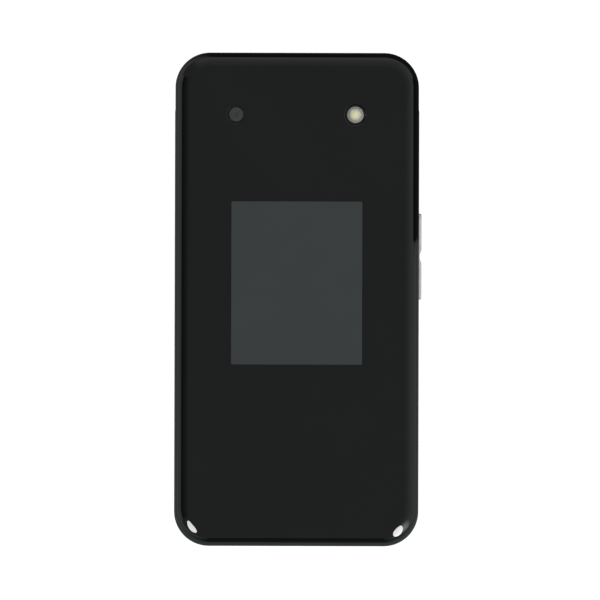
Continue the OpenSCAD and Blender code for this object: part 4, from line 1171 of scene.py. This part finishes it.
class PHONE_OT_studio(bpy.types.Operator):
    """Pale floor, soft light from all round, two softboxes and the camera"""

    bl_idname = "phone.studio"
    bl_label = "Studio"

    def execute(self, context):
        self.floor()
        self.flag()
        self.sky(context.scene)
        self.lamps()
        self.camera(context.scene)
        context.scene.view_settings.view_transform = "Standard"
        return {"FINISHED"}

    def floor(self):
        """Pale floor, clear from below.

        Reflections see a painted shadow on it, dim near the phone, and painted light only past its
        left side and past the thumb half of its right side.
        """
        half, clearance = 2.0, 0.02 * MM
        near_side, past_side = 20 * MM, 26 * MM
        far_half, thumb_half = 14.2 * MM, 12.8 * MM
        close, distant = 28 * MM, 90 * MM
        contact = 0.5 * MM
        bm = bmesh.new()
        bmesh.ops.create_grid(bm, x_segments=1, y_segments=1, size=half)
        bmesh.ops.translate(bm, verts=bm.verts, vec=(0, 0, -clearance))
        floor = to_object("studio_floor", bm)
        made, tree, shader = new_finish("studio_floor")
        shader.inputs["Base Color"].default_value = (0.35, 0.35, 0.35, 1)
        shader.inputs["Roughness"].default_value = 0.9
        shader.inputs["Specular IOR Level"].default_value = 0
        shader.inputs["Emission Color"].default_value = (1, 1, 1, 1)
        shader.inputs["Emission Strength"].default_value = 0.9
        x, y, _ = object_place(tree, (0, 0, 0))
        # Mask of the painted light that reflections see: past the left side, and past the thumb
        # half of the right side.
        left = band(tree, x, -near_side, -past_side)
        near = band(tree, y, far_half, thumb_half)
        right = product(tree, band(tree, x, near_side, past_side), near)
        lit = add_node(tree, "Math", operation="ADD", use_clamp=True)
        away = add_node(tree, "Math", operation="ABSOLUTE")
        wire(tree, (left, lit.inputs[0]), (right, lit.inputs[1]), (x, away.inputs[0]))
        # Painted shadow: the glow that reflections see is dim near the phone and grows brighter
        # farther away.
        painted_shadow_falloff = add_node(tree, "MapRange", in_1=close, in_2=distant, in_3=0.06, in_4=0.55)
        share = add_node(tree, "Math", operation="MULTIPLY_ADD", in_2=0.03)
        seen = add_node(tree, "Emission")
        wire(
            tree, (away.outputs[0], painted_shadow_falloff.inputs[0]), (painted_shadow_falloff.outputs[0], share.inputs[0]),
            (lit.outputs[0], share.inputs[1]), (share.outputs[0], seen.inputs["Strength"]),
        )
        path = add_node(tree, "LightPath")
        mix = add_node(tree, "MixShader")
        wire(
            tree,
            (path.outputs["Is Camera Ray"], mix.inputs[0]), (seen.outputs[0], mix.inputs[1]),
            (shader.outputs[0], mix.inputs[2]),
        )
        touching = add_node(tree, "Math", operation="LESS_THAN", in_1=contact)
        open_side = add_node(tree, "Math", operation="MAXIMUM")
        whole = add_node(tree, "MixShader")
        wire(
            tree, (path.outputs["Ray Length"], touching.inputs[0]),
            (touching.outputs[0], open_side.inputs[0]),
            (add_node(tree, "NewGeometry").outputs["Backfacing"], open_side.inputs[1]),
            (open_side.outputs[0], whole.inputs[0]), (mix.outputs[0], whole.inputs[1]),
            (add_node(tree, "BsdfTransparent").outputs[0], whole.inputs[2]),
            (whole.outputs[0], tree.nodes["Material Output"].inputs["Surface"]),
        )
        floor.data.materials.append(made)

    def flag(self):
        """Painted dark reflection: a black card beside the far half, that only the near side wall
        reflects.
        """
        low, high = Vector((86, 13.5, 0)), Vector((88, 150, 32))
        seen_within, gone_beyond = 64 * MM, 66 * MM
        flag = to_object("flag_right", box_mesh(MM * low, MM * high))
        made, tree, shader = new_finish("painted_dark_reflection")
        shader.inputs["Base Color"].default_value = (0.01, 0.01, 0.01, 1)
        shader.inputs["Roughness"].default_value = 1
        length = add_node(tree, "LightPath").outputs["Ray Length"]
        reach = band(tree, length, seen_within, gone_beyond)
        whole = add_node(tree, "MixShader")
        wire(
            tree, (reach, whole.inputs[0]), (shader.outputs[0], whole.inputs[1]),
            (add_node(tree, "BsdfTransparent").outputs[0], whole.inputs[2]),
            (whole.outputs[0], tree.nodes["Material Output"].inputs["Surface"]),
        )
        flag.data.materials.append(made)
        for ray in ("camera", "diffuse", "shadow", "transmission", "volume_scatter"):
            setattr(flag, "visible_" + ray, False)

    def sky(self, scene):
        """Dark room with a dim ceiling, and paler walls to the left, the right and beyond."""
        world = bpy.data.worlds.new("studio_sky")
        world.use_nodes = True
        scene.world = world
        tree = world.node_tree
        way = add_node(tree, "TexCoord").outputs["Generated"]
        parts = add_node(tree, "SeparateXYZ")
        angle = add_node(tree, "Math", operation="ARCCOSINE")
        turn = add_node(tree, "Math", operation="DIVIDE", in_1=math.pi)
        wire(
            tree, (way, parts.inputs[0]), (parts.outputs["Z"], angle.inputs[0]),
            (angle.outputs[0], turn.inputs[0]),
        )
        room, left, right, far = (
            sky_ramp(tree, turn.outputs[0], stops) for stops in (
                [(0, 0.26), (40, 0.26), (70, 0.25), (86, 0.21), (90, 0.03), (125, 0.5)],
                [(0, 0.26), (14, 0.22), (30, 0.12), (50, 0.045), (68, 0.01), (71, 0.60), (90, 0.5)],
                [(0, 0.26), (8, 0.27), (20, 0.31), (40, 0.42), (64, 0.58), (90, 0.56)],
                [(0, 0.26), (8, 0.27), (20, 0.36), (40, 0.42), (80, 0.68), (84, 0.68), (86, 0.02)],
            )
        )
        squares = [product(tree, *[parts.outputs[axis]] * 2) for axis in ("X", "Y")]
        total = add_node(tree, "Math", operation="ADD")
        share = add_node(tree, "Math", operation="DIVIDE")
        wire(
            tree, (squares[0], total.inputs[0]), (squares[1], total.inputs[1]),
            (squares[1], share.inputs[0]), (total.outputs[0], share.inputs[1]),
        )
        endways = share.outputs[0]
        soft = 0.02
        to_left = band(tree, parts.outputs["X"], soft, -soft)
        to_right = band(tree, parts.outputs["X"], -soft, soft)
        beyond = band(tree, parts.outputs["Y"], -soft, soft)
        only_left = product(tree, to_left, band(tree, endways, 0.25, 0.12))
        narrow = blend_values(tree, to_right, band(tree, endways, 0.60, 0.90), endways)
        only_far = product(tree, beyond, narrow)
        only_right = product(tree, to_right, band(tree, endways, 1.0, 0.25))
        seen = blend_colours(tree, only_left, room, left)
        seen = blend_colours(tree, only_far, seen, far)
        seen = blend_colours(tree, only_right, seen, right)
        path = add_node(tree, "LightPath")
        white = blend_colours(tree, path.outputs["Is Camera Ray"], seen, (1, 1, 1))
        wire(tree, (white, tree.nodes["Background"].inputs["Color"]))

    def lamps(self):
        """Small softboxes by the thumb-end corners, and a large sheet that lights the rest."""
        studio = settings()[2]
        corner, reach = Vector((22.3, -49.3, 16)), 12 * MM
        cover_only = bpy.data.collections.new("cover_only")
        cover_only.objects.link(bpy.data.objects["cover_shell"])
        for name, side, around, tilt, roll, size, share in (
            ("softbox_left", -1, 229, 47, 27, (6.2, 11), 1.0),
            ("softbox_right", 1, 298.5, 61, -9, (6.2, 16), 1.05),
            ("glow_right", 1, 320, 64, 0, (12, 18), 0.17),
        ):
            spot = MM * Vector((side * corner.x, corner.y, corner.z))
            lamp = self.lamp(
                name, spot, around, tilt, roll, [MM * part for part in size], reach,
                share * studio.soft_light,
            )
            lamp.visible_diffuse = False
            lamp.light_linking.receiver_collection = cover_only
            self.keep_near(lamp.data, soft=name.startswith("glow"))
        fill = self.lamp("fill_sheet", Vector((0, 0, 0)), 270, 22, 0, (3, 3), 1.5, studio.fill)
        fill.visible_glossy = False

    @staticmethod
    def keep_near(data, soft):
        """Only what lies close to the softbox sees it. A soft one fades towards its rim."""
        dark_from, full_to = 14.6 * MM, 13.4 * MM
        data.use_nodes = True
        tree = data.node_tree
        light = band(tree, add_node(tree, "LightPath").outputs["Ray Length"], dark_from, full_to)
        if soft:
            centred = add_node(tree, "VectorMath", operation="SUBTRACT")
            centred.inputs[1].default_value = (0.5, 0.5, 0)
            away = add_node(tree, "VectorMath", operation="LENGTH")
            wire(
                tree, (centred.outputs[0], away.inputs[0]),
                (add_node(tree, "NewGeometry").outputs["Parametric"], centred.inputs[0]),
            )
            light = product(tree, light, band(tree, away.outputs["Value"], 0.5, 0.0))
        wire(tree, (light, tree.nodes["Emission"].inputs["Strength"]))

    @staticmethod
    def lamp(name, target, around, tilt, roll, size, reach, light):
        """Lamp that faces a point from a direction given in degrees."""
        data = bpy.data.lights.new(name, "AREA")
        data.shape = "ELLIPSE"
        data.size, data.size_y = size
        data.energy = light * math.pi * math.pi / 4 * size[0] * size[1]
        lamp = bpy.data.objects.new(name, data)
        lamp.visible_camera = False
        bpy.context.scene.collection.objects.link(lamp)
        around, tilt = math.radians(around), math.radians(tilt)
        way = Vector((
            math.cos(around) * math.sin(tilt), math.sin(around) * math.sin(tilt), math.cos(tilt)
        ))
        facing = way.to_track_quat("Z", "Y").to_matrix().to_4x4()
        turned = Matrix.Rotation(math.radians(roll), 4, way) @ facing
        lamp.matrix_world = Matrix.Translation(target + way * reach) @ turned
        return lamp

    def camera(self, scene):
        studio = settings()[2]
        data = bpy.data.cameras.new("camera")
        data.sensor_width = 36
        data.lens = data.sensor_width * studio.height / studio.field
        data.clip_start = 0.01
        data.clip_end = 20
        camera = bpy.data.objects.new("camera", data)
        camera.location = (studio.shift_x, 0, studio.level + studio.height)
        camera.rotation_euler = (0, 0, studio.roll)
        scene.collection.objects.link(camera)
        scene.camera = camera


# ---------- Add-on ----------

OPERATORS = (
    PHONE_OT_outer_cover, PHONE_OT_outer_display, PHONE_OT_camera, PHONE_OT_flash,
    PHONE_OT_lid_shells, PHONE_OT_main_display, PHONE_OT_base_shells, PHONE_OT_keys,
    PHONE_OT_navigation, PHONE_OT_volume_rocker, PHONE_OT_sockets, PHONE_OT_small_parts,
    PHONE_OT_studio,
)


class PHONE_PT_finish(bpy.types.Panel):
    """Lists the steps that finish the phone"""

    bl_idname = "PHONE_PT_finish"
    bl_label = "Clamshell phone"
    bl_space_type = "VIEW_3D"
    bl_region_type = "UI"
    bl_category = "Phone"

    def draw(self, context):
        for step in OPERATORS:
            self.layout.operator(step.bl_idname)
        for group in (context.scene.phone_sizes, context.scene.phone_colours,
                      context.scene.phone_studio):
            box = self.layout.box()
            for name in group.__annotations__:
                box.prop(group, name)


CLASSES = (PhoneSizes, PhoneColours, PhoneStudio, *OPERATORS, PHONE_PT_finish)


def register():
    for kind in CLASSES:
        bpy.utils.register_class(kind)
    bpy.types.Scene.phone_sizes = PointerProperty(type=PhoneSizes)
    bpy.types.Scene.phone_colours = PointerProperty(type=PhoneColours)
    bpy.types.Scene.phone_studio = PointerProperty(type=PhoneStudio)


def unregister():
    for name in ("phone_sizes", "phone_colours", "phone_studio"):
        delattr(bpy.types.Scene, name)
    for kind in reversed(CLASSES):
        bpy.utils.unregister_class(kind)


def main():
    register()
    for step in OPERATORS:
        group, name = step.bl_idname.split(".")
        getattr(getattr(bpy.ops, group), name)()


if __name__ == "__main__":
    main()
